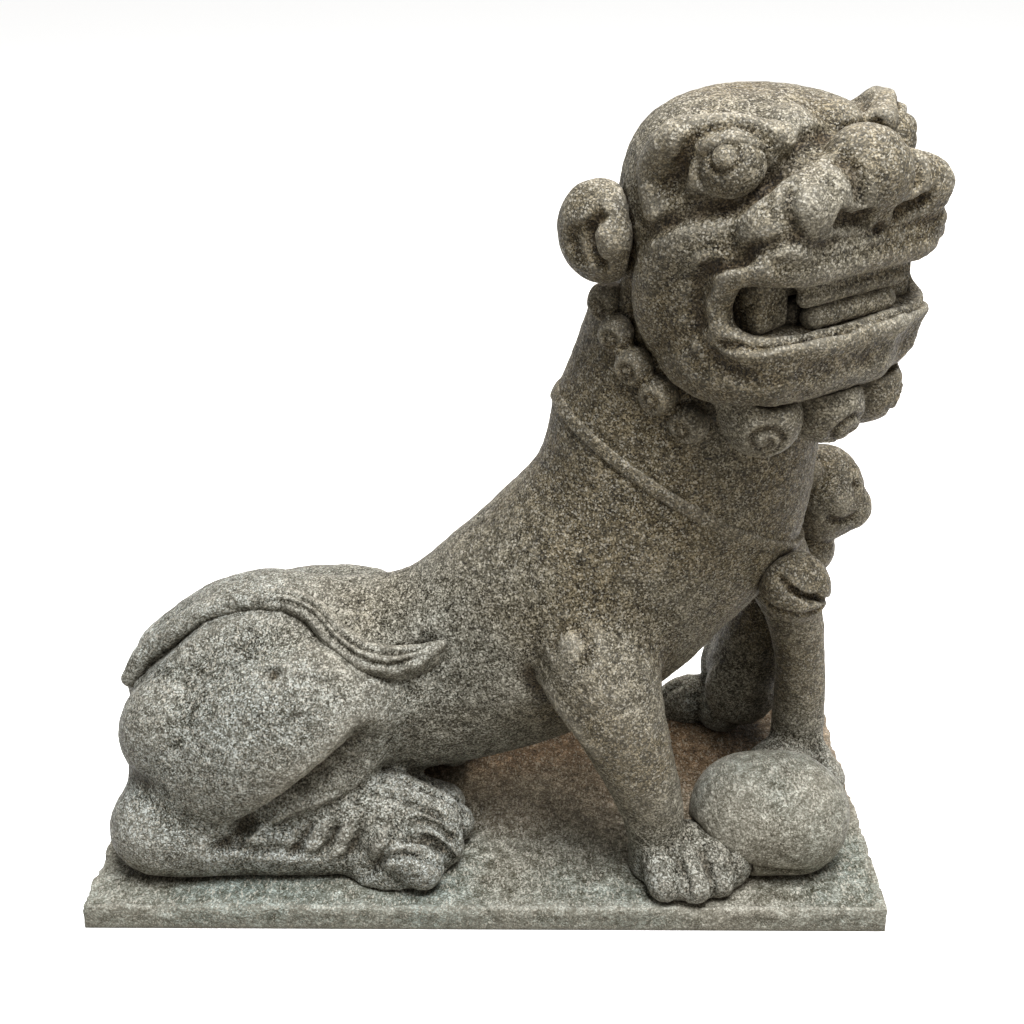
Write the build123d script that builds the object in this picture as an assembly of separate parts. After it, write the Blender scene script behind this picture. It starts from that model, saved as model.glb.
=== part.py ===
from build123d import *
import math
import os

# Guardian lion carved in granite, lying on a thin slab with its head turned to its right side.
# The statue is one block of stone. Each solid is one carved mass, and masses meet face to face
# along the carver's grooves. Millimetres. +X is the way the lion lies, -Y its right side, +Z up.
# The origin is the centre of the slab's underside. Every height below is above the slab's top face.

# Slab
slab_length = 400.0
slab_depth = 194.0
slab_thickness = 14.0
slab_edge_bevel = 1.2

# Trunk: back line, belly line and widths from rump to collar
rump_x = -190.0
rump_blunt_height = 32.0
rump_blunt_length = 8.0
rump_swell_length = 36.0
rump_tip_height_share = 0.35
rump_tip_width_share = 0.3
rump_blunt_width_share = 0.85
rump_swell_height_share = 0.79
rump_swell_width_share = 0.9
loin_x = -106.0
loin_height = 134.0
loin_belly_height = 19.0
loin_half_width = 56.0
waist_x = -56.0
waist_height = 131.0
waist_belly_height = 21.0
waist_half_width = 50.0
waist_pitch = 6.0
rib_x = 2.0
rib_z = 95.0
rib_pitch = 24.0
rib_half_height = 60.0
rib_half_width = 50.0
chest_x = 60.0
chest_z = 138.0
chest_pitch = 39.0
chest_half_height = 66.0
chest_half_width = 58.0
breast_x = 83.0
breast_z = 166.0
breast_pitch = 49.0
breast_half_height = 67.0
breast_half_width = 58.0

# Collar section, where trunk ends and neck begins
collar_x = 99.0
collar_z = 198.0
collar_pitch = 58.0
collar_half_height = 72.0
collar_half_width = 56.0
collar_width = 9.0
collar_proud = 2.0

# Neck above the collar
neck_x = 107.0
neck_z = 250.0
neck_pitch = 80.0
neck_half_length = 60.0
neck_half_width = 52.0
neck_rise_into_head = 42.0
neck_top_half_length = 50.0
neck_top_half_width = 44.0

# Bell on the collar, on the front of the turned chest
bell_radius = 17.5
bell_angle = 35.0
bell_drop = 19.0
bell_forward = 4.75
bell_outward = 3.8
bell_slit_width = 3.0
bell_slit_depth = 9.0
bell_slit_tilt = 25.0

# Hind legs: haunch, hock and shank along the slab, paw with four toes
haunch_x = -110.0
haunch_y = 37.0
haunch_z = 65.0
haunch_length = 81.0
haunch_radius = 48.0
haunch_tilt = 26.0
hock_x = -166.0
hock_y = 57.0
hock_height = 21.0
hock_radius = 27.0
shank_end_x = -52.0
shank_end_height = 12.0
shank_end_radius = 19.0
hind_paw_x = -46.0
hind_paw_y = 52.0
hind_paw_length = 27.0
hind_paw_half_width = 33.0
hind_paw_height = 37.0
hind_toe_radius = 11.0
hind_toe_height = 11.0
hind_toe_spread = 18.0
hind_toe_reach = 24.0
hind_toe_steps = (-8.0, 2.0, 6.0, 1.0)

# Right foreleg, beside the ball
right_shoulder = (58.0, -28.0, 126.0)
right_elbow = (64.0, -57.0, 98.0)
right_ankle = (88.0, -63.0, 24.0)
right_shoulder_radius = 34.0
right_elbow_radius = 26.0
right_ankle_radius = 15.0
right_paw_centre = (104.0, -66.0)
right_paw_turn = -68.0

# Left foreleg, upright behind the ball
left_shoulder = (138.0, 10.0, 150.0)
left_elbow = (163.0, 20.0, 108.0)
left_ankle = (173.0, 24.0, 26.0)
left_shoulder_radius = 27.0
left_elbow_radius = 16.0
left_ankle_radius = 14.5
left_paw_centre = (166.0, 9.0)
left_paw_turn = -72.0

# Forepaws
fore_paw_length = 24.0
fore_paw_half_width = 25.0
fore_paw_height = 27.0
fore_toe_radius = 8.5
fore_toe_height = 8.0
fore_toe_spread = 13.5
fore_toe_reach = 20.0
fore_toe_steps = (-5.0, 2.0, 2.0, -5.0)

# Every paw: how far the knuckles close up and how deep they sit, in toe radii
knuckle_spread_share = 0.85
knuckle_depth_share = 1.4

# Ball under the right forepaw
ball_x = 147.0
ball_y = -49.0
ball_height = 22.0
ball_length = 41.0
ball_radius = 32.0

# Tail laid over the right haunch, from the rump to the flank
tail_route = (
    (-181.0, -22.0, 83.0),
    (-165.0, -24.0, 109.0),
    (-144.0, -20.0, 121.0),
    (-121.0, -15.0, 128.0),
    (-98.0, -15.0, 128.0),
    (-80.0, -27.0, 123.0),
    (-63.0, -40.0, 115.0),
    (-46.0, -44.0, 110.0),
    (-29.0, -43.0, 111.0),
    (-14.0, -42.0, 118.0),
)
tail_radii = (8.0, 8.5, 9.0, 9.0, 9.0, 9.5, 9.5, 9.0, 7.0, 3.0)

# Head, in its own frame: forward along the nose, left, and up from the middle of the face
head_x = 144.0
head_y = -40.0
head_z = 318.0
head_turn = 52.0
crown_height = 62.0
chin_depth = 60.0
skull_back = -86.0
skull_front = 38.0
skull_half_width = 65.0
# Rows from chin to crown: share of chin depth or crown height, set-back, share of length and of width
skull_chin_rows = (
    (1.00, 8.0, 0.62, 0.70),
    (0.63, 4.0, 0.90, 0.92),
    (0.13, 0.0, 1.00, 1.00),
)
skull_crown_rows = (
    (0.32, -1.0, 1.00, 0.98),
    (0.68, -5.0, 0.84, 0.87),
    (0.90, -9.0, 0.58, 0.64),
    (1.00, -11.0, 0.26, 0.32),
)
muzzle_front = 42.0
muzzle_half_width = 56.0
muzzle_radius = 18.0
muzzle_level = 14.0
jaw_front = 41.0
jaw_half_width = 54.0
jaw_radius = 17.0
jaw_level = -43.0
mouth_top = -4.0
mouth_floor = -29.0
mouth_back = 6.0
mouth_half_width = 52.0
mouth_corner_radius = 8.0
lip_radius = 6.5
upper_lip_level = 1.0
lower_lip_level = -32.0
lip_half_width = 57.0
lip_front = 36.0
lip_corner_radius = 26.0
lip_back_reach = 8.0
lip_pinch = 6.0

# Teeth and tongue
side_tooth_size = 17.0
side_tooth_spacing = 78.0
side_tooth_setback = 9.0
front_teeth_width = 58.0
front_teeth_height = 9.0
tongue_width = 50.0
tongue_height = 10.0
mouth_fill_front = 33.0

# Nose
nose_forward = 31.0
nose_level = 36.0
nose_radius = 19.0
nose_wing_spacing = 66.0
nose_wing_radius = 13.5
nose_wing_length = 17.0
nose_wing_level = 26.0

# Eyes and brows
eye_forward = 2.0
eye_spacing = 92.0
eye_level = 39.0
eye_radius = 13.0
eye_turn = 40.0
lid_ring_radius = 15.5
lid_radius = 5.0
brow_level = 50.0
brow_length = 27.0
brow_thickness = 10.0
brow_turn = 32.0
brow_setback = 5.0

# Ears
ear_forward = -60.0
ear_spacing = 126.0
ear_level = 4.0
ear_radius = 23.0
ear_thickness = 16.0
ear_hollow_radius = 12.0
ear_hollow_forward = 6.0
ear_hollow_outset = 3.0
ear_hollow_drop = 4.0

# Beard lobes under the chin and curls along the jaw
beard_level = -64.0
beard_forward = 14.0
beard_lobe_radius = 18.0
beard_lobe_drop = 22.0
beard_spacing = 33.0
beard_root_setback = 10.0
beard_root_rise = 14.0
middle_beard_forward = 6.0
curl_count = 5
curl_radius = 9.5
curl_top = (-66.0, 53.0, -31.0)
curl_bottom = (-18.0, 45.0, -78.0)
curl_bow = 8.0

# Cub climbing the lion's left side
cub_rump = (150.0, 68.0, 40.0)
cub_rump_radius = 24.0
cub_chest = (167.0, 55.0, 118.0)
cub_chest_radius = 20.0
cub_head_centre = (180.0, 47.0, 160.0)
cub_head_radius = 23.0
cub_head_height = 27.0
cub_snout_radius = 13.0
cub_snout_reach = 14.0
cub_snout_side = 3.0
cub_snout_drop = 6.0
cub_hind_foot = (136.0, 78.0, 8.0)
cub_leg_radius = 13.0
cub_hip_radius = 17.0
cub_forepaw = (146.0, 36.0, 142.0)
cub_arm_radius = 10.0
cub_leg_spacing = 22.0


def spheroid(half_length, radius):
    """Egg with its axis along Z."""
    outline = [
        EllipticalCenterArc((0, 0), radius, half_length, -90, arc_size=180),
        Line((0, half_length), (0, -half_length)),
    ]
    return revolve(Plane.XZ * make_face(outline), Axis.Z)


ALONG_X = Rot(0, 90, 0)
ALONG_Y = Rot(90, 0, 0)


def limb(start, end, start_radius, end_radius):
    """Tapered bar with round ends, from one point to another."""
    run = Vector(*end) - Vector(*start)
    reach = run.length
    outline = [
        CenterArc((0, 0), start_radius, -90, 90),
        Line((start_radius, 0), (end_radius, reach)),
        CenterArc((0, reach), end_radius, 0, 90),
        Line((0, reach + end_radius), (0, -start_radius)),
    ]
    bar = revolve(Plane.XZ * make_face(outline), Axis.Z)
    return Plane(origin=start, z_dir=run) * bar


def spine_section(x, z, pitch, half_height, half_width):
    """Upright or leaning oval across the lion's middle plane."""
    lean = math.radians(pitch)
    across = Plane(origin=(x, 0, z), x_dir=(0, 1, 0), z_dir=(math.cos(lean), 0, math.sin(lean)))
    return across * Ellipse(half_width, half_height)


def route_loft(points, radii):
    """Round bar through a few points, with a radius at each."""
    rings = []
    for index, point in enumerate(points):
        before = Vector(*points[max(index - 1, 0)])
        after = Vector(*points[min(index + 1, len(points) - 1)])
        rings.append(Plane(origin=point, x_dir=(0, 1, 0.2), z_dir=after - before) * Circle(radii[index]))
    return loft(rings)


def make_slab():
    """Thin slab with a worn top edge."""
    slab = Pos(0, 0, -slab_thickness / 2) * Box(slab_length, slab_depth, slab_thickness)
    return chamfer(slab.edges().group_by(Axis.Z)[-1], slab_edge_bevel)


def collar_section():
    """Oval of the collar line, which ends the trunk and starts the neck."""
    return spine_section(collar_x, collar_z, collar_pitch, collar_half_height, collar_half_width)


def make_trunk():
    """Rump, belly and chest in one swell, up to the collar."""
    loin_z = (loin_height + loin_belly_height) / 2
    loin_half = (loin_height - loin_belly_height) / 2
    waist_z = (waist_height + waist_belly_height) / 2
    waist_half = (waist_height - waist_belly_height) / 2
    blunt = rump_blunt_height
    swell_half_height = loin_half * rump_swell_height_share
    swell_half_width = loin_half_width * rump_swell_width_share
    return loft([
        spine_section(rump_x, loin_z, 0, blunt * rump_tip_height_share, blunt * rump_tip_width_share),
        spine_section(rump_x + rump_blunt_length, loin_z, 0, blunt, blunt * rump_blunt_width_share),
        spine_section(rump_x + rump_swell_length, loin_z, 0, swell_half_height, swell_half_width),
        spine_section(loin_x, loin_z, 0, loin_half, loin_half_width),
        spine_section(waist_x, waist_z, waist_pitch, waist_half, waist_half_width),
        spine_section(rib_x, rib_z, rib_pitch, rib_half_height, rib_half_width),
        spine_section(chest_x, chest_z, chest_pitch, chest_half_height, chest_half_width),
        spine_section(breast_x, breast_z, breast_pitch, breast_half_height, breast_half_width),
        collar_section(),
    ])


def make_neck():
    """Thick neck from the collar into the skull."""
    return loft([
        collar_section(),
        spine_section(neck_x, neck_z, neck_pitch, neck_half_length, neck_half_width),
        spine_section(neck_x, neck_z + neck_rise_into_head, 90, neck_top_half_length, neck_top_half_width),
    ])


def collar_plane():
    """Plane of the collar line, with local Y pointing up its back."""
    lean = math.radians(collar_pitch)
    return Plane(
        origin=(collar_x, 0, collar_z), x_dir=(0, 1, 0), z_dir=(math.cos(lean), 0, math.sin(lean))
    )


def make_collar():
    """Flat strap round the base of the neck."""
    strap = extrude(
        Ellipse(collar_half_width + collar_proud, collar_half_height + collar_proud),
        collar_width / 2,
        both=True,
    )
    return collar_plane() * strap


def make_bell():
    """Round bell with a slit, hung from the front of the collar."""
    swing = math.radians(bell_angle)
    side = -collar_half_width * math.sin(swing)
    front = -collar_half_height * math.cos(swing)
    seat = collar_plane() * Pos(side, front, 0)
    centre = seat.position + Vector(bell_forward, -bell_outward, -bell_drop)
    slit = Box(4 * bell_radius, 2 * bell_slit_depth, bell_slit_width)
    outward = Plane(origin=centre, x_dir=(math.cos(swing), math.sin(swing), 0), z_dir=(0, 0, 1))
    mouth = outward * Rot(0, bell_slit_tilt, 0) * Pos(0, -bell_radius, 0) * slit
    return Pos(centre) * Sphere(bell_radius) - mouth


def make_haunch(side):
    """Round mass of a thigh."""
    mass = ALONG_X * Rot(0, 0, side * 90) * spheroid(haunch_length, haunch_radius)
    return Pos(haunch_x, side * haunch_y, haunch_z) * Rot(0, -haunch_tilt, 0) * mass


def make_hind_leg(side):
    """Hock and shank lying along the slab."""
    return limb(
        (hock_x, side * hock_y, hock_height),
        (shank_end_x, side * hock_y, shank_end_height),
        hock_radius,
        shank_end_radius,
    )


def make_paw(length, half_width, height, toe_radius, toe_height, toe_spread, toe_reach, toe_steps):
    """Paw pointing along +X: a round pad and a row of toes."""
    paw = ALONG_Y * spheroid(half_width, (length + height) / 2)
    count = len(toe_steps)
    for index, step in enumerate(toe_steps):
        across = (index - (count - 1) / 2) * toe_spread
        knuckle = (0, across * knuckle_spread_share, height - toe_radius * knuckle_depth_share)
        tip = (toe_reach + step, across, toe_height)
        paw += limb(knuckle, tip, toe_radius, toe_radius)
    return paw


def make_hind_paw(side):
    """Hind paw beside the belly."""
    paw = make_paw(
        hind_paw_length, hind_paw_half_width, hind_paw_height, hind_toe_radius, hind_toe_height,
        hind_toe_spread, hind_toe_reach, hind_toe_steps[::-side],
    )
    return Pos(hind_paw_x, side * hind_paw_y, 0) * paw


def make_forepaw(centre, turn):
    """Forepaw set down beside or behind the ball."""
    paw = make_paw(
        fore_paw_length, fore_paw_half_width, fore_paw_height, fore_toe_radius, fore_toe_height,
        fore_toe_spread, fore_toe_reach, fore_toe_steps,
    )
    return Pos(centre[0], centre[1], 0) * Rot(0, 0, turn) * paw


def make_foreleg(shoulder, elbow, ankle, radii):
    """Foreleg from inside the chest down to the slab."""
    foot = (ankle[0], ankle[1], 0.0)
    return route_loft((shoulder, elbow, ankle, foot), radii)


def make_ball():
    """Slightly long ball, sunk a little into the slab."""
    half = ball_length - ball_radius
    back = (ball_x - half, ball_y, ball_height)
    front = (ball_x + half, ball_y, ball_height)
    return limb(back, front, ball_radius, ball_radius)


def head_frame():
    """Plane of the turned head: local X forward, Y left, Z up."""
    turn = math.radians(head_turn)
    return Plane(
        origin=(head_x, head_y, head_z), x_dir=(math.cos(turn), -math.sin(turn), 0), z_dir=(0, 0, 1)
    )


def make_skull():
    """Egg-shaped skull and cheeks, with the mouth cut into its front."""
    middle = (skull_back + skull_front) / 2
    half = (skull_front - skull_back) / 2
    rows = [(-share * chin_depth, *rest) for share, *rest in skull_chin_rows]
    rows += [(share * crown_height, *rest) for share, *rest in skull_crown_rows]
    skull = loft([
        Pos(middle + shift, 0, level) * Ellipse(half * long, skull_half_width * wide)
        for level, shift, long, wide in rows
    ])
    mouth_height = mouth_top - mouth_floor
    mouth = extrude(
        Plane.YZ * Pos(0, (mouth_top + mouth_floor) / 2)
        * RectangleRounded(2 * mouth_half_width, mouth_height, mouth_corner_radius),
        2 * skull_front,
    )
    return skull - Pos(mouth_back, 0, 0) * mouth


def make_face_roll(front, half_width, radius, level):
    """Thick round roll across the face."""
    half = half_width - radius
    middle = front - radius
    return limb((middle, -half, level), (middle, half, level), radius, radius)


def make_lip(level):
    """Rolled lip round the front of the mouth."""
    corner = mouth_back - lip_back_reach
    rim = FilletPolyline(
        (corner, -lip_half_width),
        (lip_front, -lip_half_width + lip_pinch),
        (lip_front, lip_half_width - lip_pinch),
        (corner, lip_half_width),
        radius=lip_corner_radius,
    )
    start = Plane(origin=rim @ 0, z_dir=rim % 0)
    return Pos(0, 0, level) * sweep(start * Circle(lip_radius), path=rim)


def make_side_tooth(side):
    """Square tooth block near a corner of the mouth."""
    tooth = Box(2 * side_tooth_size, side_tooth_size, mouth_top - mouth_floor)
    forward = mouth_fill_front - side_tooth_setback - side_tooth_size
    return Pos(forward, side * side_tooth_spacing / 2, (mouth_top + mouth_floor) / 2) * tooth


def make_front_teeth():
    """Row of upper teeth between the side blocks."""
    level = mouth_top - front_teeth_height / 2
    length = mouth_fill_front - mouth_back
    row = Box(length, front_teeth_width, front_teeth_height)
    return Pos((mouth_fill_front + mouth_back) / 2, 0, level) * row


def make_tongue():
    """Flat tongue lying on the mouth's floor."""
    level = mouth_floor + tongue_height / 2
    length = mouth_fill_front - mouth_back
    blank = Box(length, tongue_width, tongue_height)
    return Pos((mouth_fill_front + mouth_back) / 2, 0, level) * blank


def make_nose():
    """Broad nose: a bulb between two wings."""
    bulb = Pos(nose_forward, 0, nose_level) * Sphere(nose_radius)
    wing = ALONG_Y * spheroid(nose_wing_length, nose_wing_radius)
    for side in (-1, 1):
        bulb += Pos(nose_forward, side * nose_wing_spacing / 2, nose_wing_level) * wing
    return bulb


def eye_frame(side):
    """Eye socket, its local X pointing out of the face."""
    turn = math.radians(eye_turn)
    return Plane(
        origin=(eye_forward, side * eye_spacing / 2, eye_level),
        x_dir=(math.cos(turn), side * math.sin(turn), 0),
        z_dir=(0, 0, 1),
    )


def make_eye(side):
    """Bulging eyeball."""
    return eye_frame(side) * Sphere(eye_radius)


def make_lids(side):
    """Ring of eyelids round an eye."""
    return eye_frame(side) * Rot(0, 90, 0) * Torus(lid_ring_radius, lid_radius)


def make_brow(side):
    """Heavy ridge over an eye."""
    half = brow_length - brow_thickness
    ridge = limb((0, -half, 0), (0, half, 0), brow_thickness, brow_thickness)
    seat = Pos(eye_forward - brow_setback, side * eye_spacing / 2, brow_level)
    return seat * Rot(0, 0, side * brow_turn) * ridge


def make_ear(side):
    """Folded ear with a hollow in its outer face."""
    ear = ALONG_Y * spheroid(ear_thickness, ear_radius)
    outset = side * (ear_thickness + ear_hollow_outset)
    hollow = Pos(ear_hollow_forward, outset, -ear_hollow_drop) * Sphere(ear_hollow_radius)
    return Pos(ear_forward, side * ear_spacing / 2, ear_level) * (ear - hollow)


def make_beard_lobe(across, forward):
    """One scalloped lobe of the beard."""
    top = (beard_forward + forward - beard_root_setback, across, beard_level + beard_root_rise)
    tip = (beard_forward + forward, across, beard_level - beard_lobe_drop + beard_lobe_radius)
    return limb(top, tip, beard_lobe_radius, beard_lobe_radius)


def make_jaw_curls(side):
    """Chain of mane curls behind the jaw."""
    top = Vector(curl_top[0], side * curl_top[1], curl_top[2])
    bottom = Vector(curl_bottom[0], side * curl_bottom[1], curl_bottom[2])
    chain = None
    for index in range(curl_count):
        share = index / (curl_count - 1)
        bow = curl_bow * math.sin(math.pi * share)
        centre = top + (bottom - top) * share + Vector(0, side * bow, 0)
        curl = Pos(centre) * ALONG_Y * Sphere(curl_radius)
        chain = curl if chain is None else chain + curl
    return chain


def make_cub():
    """Body, head and legs of the cub, leaning on the lion's left side."""
    body = limb(cub_rump, cub_chest, cub_rump_radius, cub_chest_radius)
    head = Pos(cub_head_centre) * spheroid(cub_head_height, cub_head_radius)
    snout = Vector(*cub_head_centre) + Vector(cub_snout_reach, -cub_snout_side, -cub_snout_drop)
    head += Pos(snout) * Sphere(cub_snout_radius)
    near_shift = Vector(0, -cub_leg_spacing / 2, 0)
    far_shift = Vector(0, cub_leg_spacing / 2, 0)
    legs = {}
    for name, shift in (("right", near_shift), ("left", far_shift)):
        hip = Vector(*cub_rump) + shift
        foot = Vector(*cub_hind_foot) + shift
        legs[f"cub_{name}_hind_leg"] = limb(tuple(hip), tuple(foot), cub_hip_radius, cub_leg_radius)
    arm = limb(cub_chest, cub_forepaw, cub_arm_radius, cub_arm_radius)
    return {"cub_body": body, "cub_head": head, **legs, "cub_foreleg": arm}


def make_masses():
    """Every carved mass before neighbours are cut from each other, the ones that keep their shape first."""
    face = head_frame()
    sides = {"right": -1, "left": 1}
    masses = {}
    masses["trunk"] = make_trunk()
    masses["neck"] = make_neck()
    masses["skull"] = face * make_skull()
    masses["muzzle"] = face * make_face_roll(muzzle_front, muzzle_half_width, muzzle_radius, muzzle_level)
    masses["lower_jaw"] = face * make_face_roll(jaw_front, jaw_half_width, jaw_radius, jaw_level)
    masses["nose"] = face * make_nose()
    masses["upper_lip"] = face * make_lip(upper_lip_level)
    masses["lower_lip"] = face * make_lip(lower_lip_level)
    masses["tongue"] = face * make_tongue()
    masses["front_teeth"] = face * make_front_teeth()
    face_pairs = {
        "tooth": make_side_tooth, "eye": make_eye, "eyelids": make_lids, "brow": make_brow,
        "ear": make_ear, "jaw_curls": make_jaw_curls,
    }
    for part, maker in face_pairs.items():
        for name, side in sides.items():
            masses[f"{name}_{part}"] = face * maker(side)
    masses["middle_beard"] = face * make_beard_lobe(0.0, middle_beard_forward)
    for name, side in sides.items():
        masses[f"{name}_beard"] = face * make_beard_lobe(side * beard_spacing, 0.0)
    masses["collar"] = make_collar()
    masses["bell"] = make_bell()
    hind_pairs = {"haunch": make_haunch, "hind_paw": make_hind_paw, "hind_leg": make_hind_leg}
    for part, maker in hind_pairs.items():
        for name, side in sides.items():
            masses[f"{name}_{part}"] = maker(side)
    masses["tail"] = route_loft(tail_route, tail_radii)
    masses["right_forepaw"] = make_forepaw(right_paw_centre, right_paw_turn)
    masses["left_forepaw"] = make_forepaw(left_paw_centre, left_paw_turn)
    masses["right_foreleg"] = make_foreleg(
        right_shoulder, right_elbow, right_ankle,
        (right_shoulder_radius, right_elbow_radius, right_ankle_radius, right_ankle_radius),
    )
    masses["left_foreleg"] = make_foreleg(
        left_shoulder, left_elbow, left_ankle,
        (left_shoulder_radius, left_elbow_radius, left_ankle_radius, left_ankle_radius),
    )
    masses["ball"] = make_ball()
    masses.update(make_cub())
    return masses


def boxes_meet(a, b):
    """Whether two bounding boxes overlap."""
    return all(
        low < high
        for low, high in (
            (a.min.X, b.max.X), (b.min.X, a.max.X),
            (a.min.Y, b.max.Y), (b.min.Y, a.max.Y),
            (a.min.Z, b.max.Z), (b.min.Z, a.max.Z),
        )
    )


def part_masses(masses):
    """Cut each mass by the ones before it and by the slab's top face, and keep its main lump."""
    reach = 4 * slab_length
    below_slab_top = Pos(0, 0, -reach / 2) * Box(reach, reach, reach)
    boxes = {name: mass.bounding_box() for name, mass in masses.items()}
    parted = {}
    for name, mass in masses.items():
        rest = mass
        if boxes[name].min.Z < 0:
            rest = rest - below_slab_top
        for earlier in parted:
            if boxes_meet(boxes[name], boxes[earlier]):
                rest = rest - masses[earlier]
        parted[name] = max(rest.solids(), key=lambda solid: solid.volume)
    return parted


os.makedirs("parts", exist_ok=True)
pieces = {"base_slab": make_slab(), **part_masses(make_masses())}
for piece_name, piece in pieces.items():
    export_step(Pos(0, 0, slab_thickness) * piece, f"parts/{piece_name}.step")
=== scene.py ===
import math

import bmesh
import bpy
import numpy as np
from mathutils import Matrix, Vector, noise


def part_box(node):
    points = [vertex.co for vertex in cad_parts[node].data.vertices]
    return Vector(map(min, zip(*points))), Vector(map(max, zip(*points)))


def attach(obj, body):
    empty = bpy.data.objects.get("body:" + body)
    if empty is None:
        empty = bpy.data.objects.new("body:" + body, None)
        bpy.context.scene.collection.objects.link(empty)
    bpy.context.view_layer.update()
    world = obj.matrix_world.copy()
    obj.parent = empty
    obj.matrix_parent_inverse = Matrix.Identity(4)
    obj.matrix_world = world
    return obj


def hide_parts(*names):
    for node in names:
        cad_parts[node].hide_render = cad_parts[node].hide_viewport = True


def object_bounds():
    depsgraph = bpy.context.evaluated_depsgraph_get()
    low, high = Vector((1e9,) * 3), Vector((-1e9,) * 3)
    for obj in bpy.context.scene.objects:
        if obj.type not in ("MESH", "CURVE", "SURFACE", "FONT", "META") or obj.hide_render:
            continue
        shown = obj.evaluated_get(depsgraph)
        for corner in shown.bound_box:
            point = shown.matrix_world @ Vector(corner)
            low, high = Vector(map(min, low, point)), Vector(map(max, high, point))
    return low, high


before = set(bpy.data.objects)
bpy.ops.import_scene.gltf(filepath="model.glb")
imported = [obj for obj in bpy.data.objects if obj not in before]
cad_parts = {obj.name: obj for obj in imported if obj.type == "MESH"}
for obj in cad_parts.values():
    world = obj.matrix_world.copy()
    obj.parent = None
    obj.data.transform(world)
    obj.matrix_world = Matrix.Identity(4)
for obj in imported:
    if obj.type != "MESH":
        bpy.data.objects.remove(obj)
CAD_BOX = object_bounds()

bl_info = {
    "name": "Granite guardian lion",
    "version": (1, 0, 0),
    "blender": (4, 5, 0),
    "location": "3D View > Sidebar > Lion",
    "description": "Carves a granite guardian lion over its packed solids",
    "category": "Object",
}

# One millimetre in Blender's metres. Routes and sizes of the lion are in millimetres.
MM = 0.001

# The turned head: middle of the face, and its turn from the body towards the lion's right side
HEAD = (144.0, -40.0, 332.0)
HEAD_TURN = 52.0

# The collar line, where body and head pieces meet under the strap, and the core that closes the strap
COLLAR = (99.0, 0.0, 212.0)
COLLAR_PITCH = 58.0
COLLAR_CORE = (71.0, 55.0, 6.0)


def face_point(forward, left, up):
    """Place on the turned head, in the statue's frame."""
    turn = math.radians(HEAD_TURN)
    x = HEAD[0] + forward * math.cos(turn) + left * math.sin(turn)
    y = HEAD[1] - forward * math.sin(turn) + left * math.cos(turn)
    return (x, y, HEAD[2] + up)


def face_route(*places):
    """Line of places on the turned head."""
    return [face_point(*place) for place in places]


def both_halves(line):
    """A line of the face's right half, and its twin on the left half."""
    return face_route(*line), face_route(*[(forward, -left, up) for forward, left, up in line])


def collar_normal():
    """Direction up the neck at the collar line."""
    pitch = math.radians(COLLAR_PITCH)
    return Vector((math.cos(pitch), 0.0, math.sin(pitch)))


def linear(hex_colour):
    """Linear colour with alpha from an sRGB hex value."""
    channels = [int(hex_colour[i:i + 2], 16) / 255 for i in (1, 3, 5)]
    return tuple(c / 12.92 if c <= 0.04045 else ((c + 0.055) / 1.055) ** 2.4 for c in channels) + (1.0,)


def link_object(name, bm):
    """New object at the origin from a finished bmesh."""
    mesh = bpy.data.meshes.new(name)
    bm.to_mesh(mesh)
    bm.free()
    obj = bpy.data.objects.new(name, mesh)
    bpy.context.scene.collection.objects.link(obj)
    return obj


def copy_nodes(bm, nodes):
    """Merged copies of CAD nodes."""
    for node in nodes:
        bm.from_mesh(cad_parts[node].data)
    bmesh.ops.remove_doubles(bm, verts=bm.verts, dist=0.002 * MM)


def add_egg(bm, centre, radii, turn=0.0):
    """Egg of clay, turned about the upright."""
    made = bmesh.ops.create_uvsphere(bm, u_segments=40, v_segments=24, radius=1.0)
    spin = Matrix.Rotation(math.radians(turn), 4, "Z")
    size = Matrix.Diagonal((*(Vector(radii) * MM), 1.0))
    place = Matrix.Translation(Vector(centre) * MM) @ spin @ size
    bmesh.ops.transform(bm, matrix=place, verts=made["verts"])


def add_bar(bm, start, end, start_radius, end_radius):
    """Round bar of clay between two places, with round ends."""
    a = Vector(start) * MM
    b = Vector(end) * MM
    run = b - a
    made = bmesh.ops.create_cone(
        bm, segments=32, radius1=start_radius * MM, radius2=end_radius * MM, depth=run.length, cap_ends=True
    )
    place = Matrix.Translation((a + b) / 2) @ run.to_track_quat("Z", "Y").to_matrix().to_4x4()
    bmesh.ops.transform(bm, matrix=place, verts=made["verts"])
    for spot, radius in ((start, start_radius), (end, end_radius)):
        add_egg(bm, spot, (radius, radius, radius))


def add_chain(bm, chain, placed):
    """Bars of clay from place to place of a chain, each place with its radius."""
    for (start, start_radius), (end, end_radius) in zip(chain, chain[1:]):
        add_bar(bm, placed(start), placed(end), start_radius, end_radius)


def settle(obj):
    """Bake an object's modifiers into its mesh."""
    graph = bpy.context.evaluated_depsgraph_get()
    baked = bpy.data.meshes.new_from_object(obj.evaluated_get(graph))
    rough = obj.data
    obj.modifiers.clear()
    obj.data = baked
    bpy.data.meshes.remove(rough)


def recut(obj, cell):
    """Turn overlapping masses into one closed skin of even faces."""
    skin = obj.modifiers.new("skin", "REMESH")
    skin.mode = "VOXEL"
    skin.voxel_size = cell * MM
    skin.use_smooth_shade = True
    settle(obj)


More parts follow.
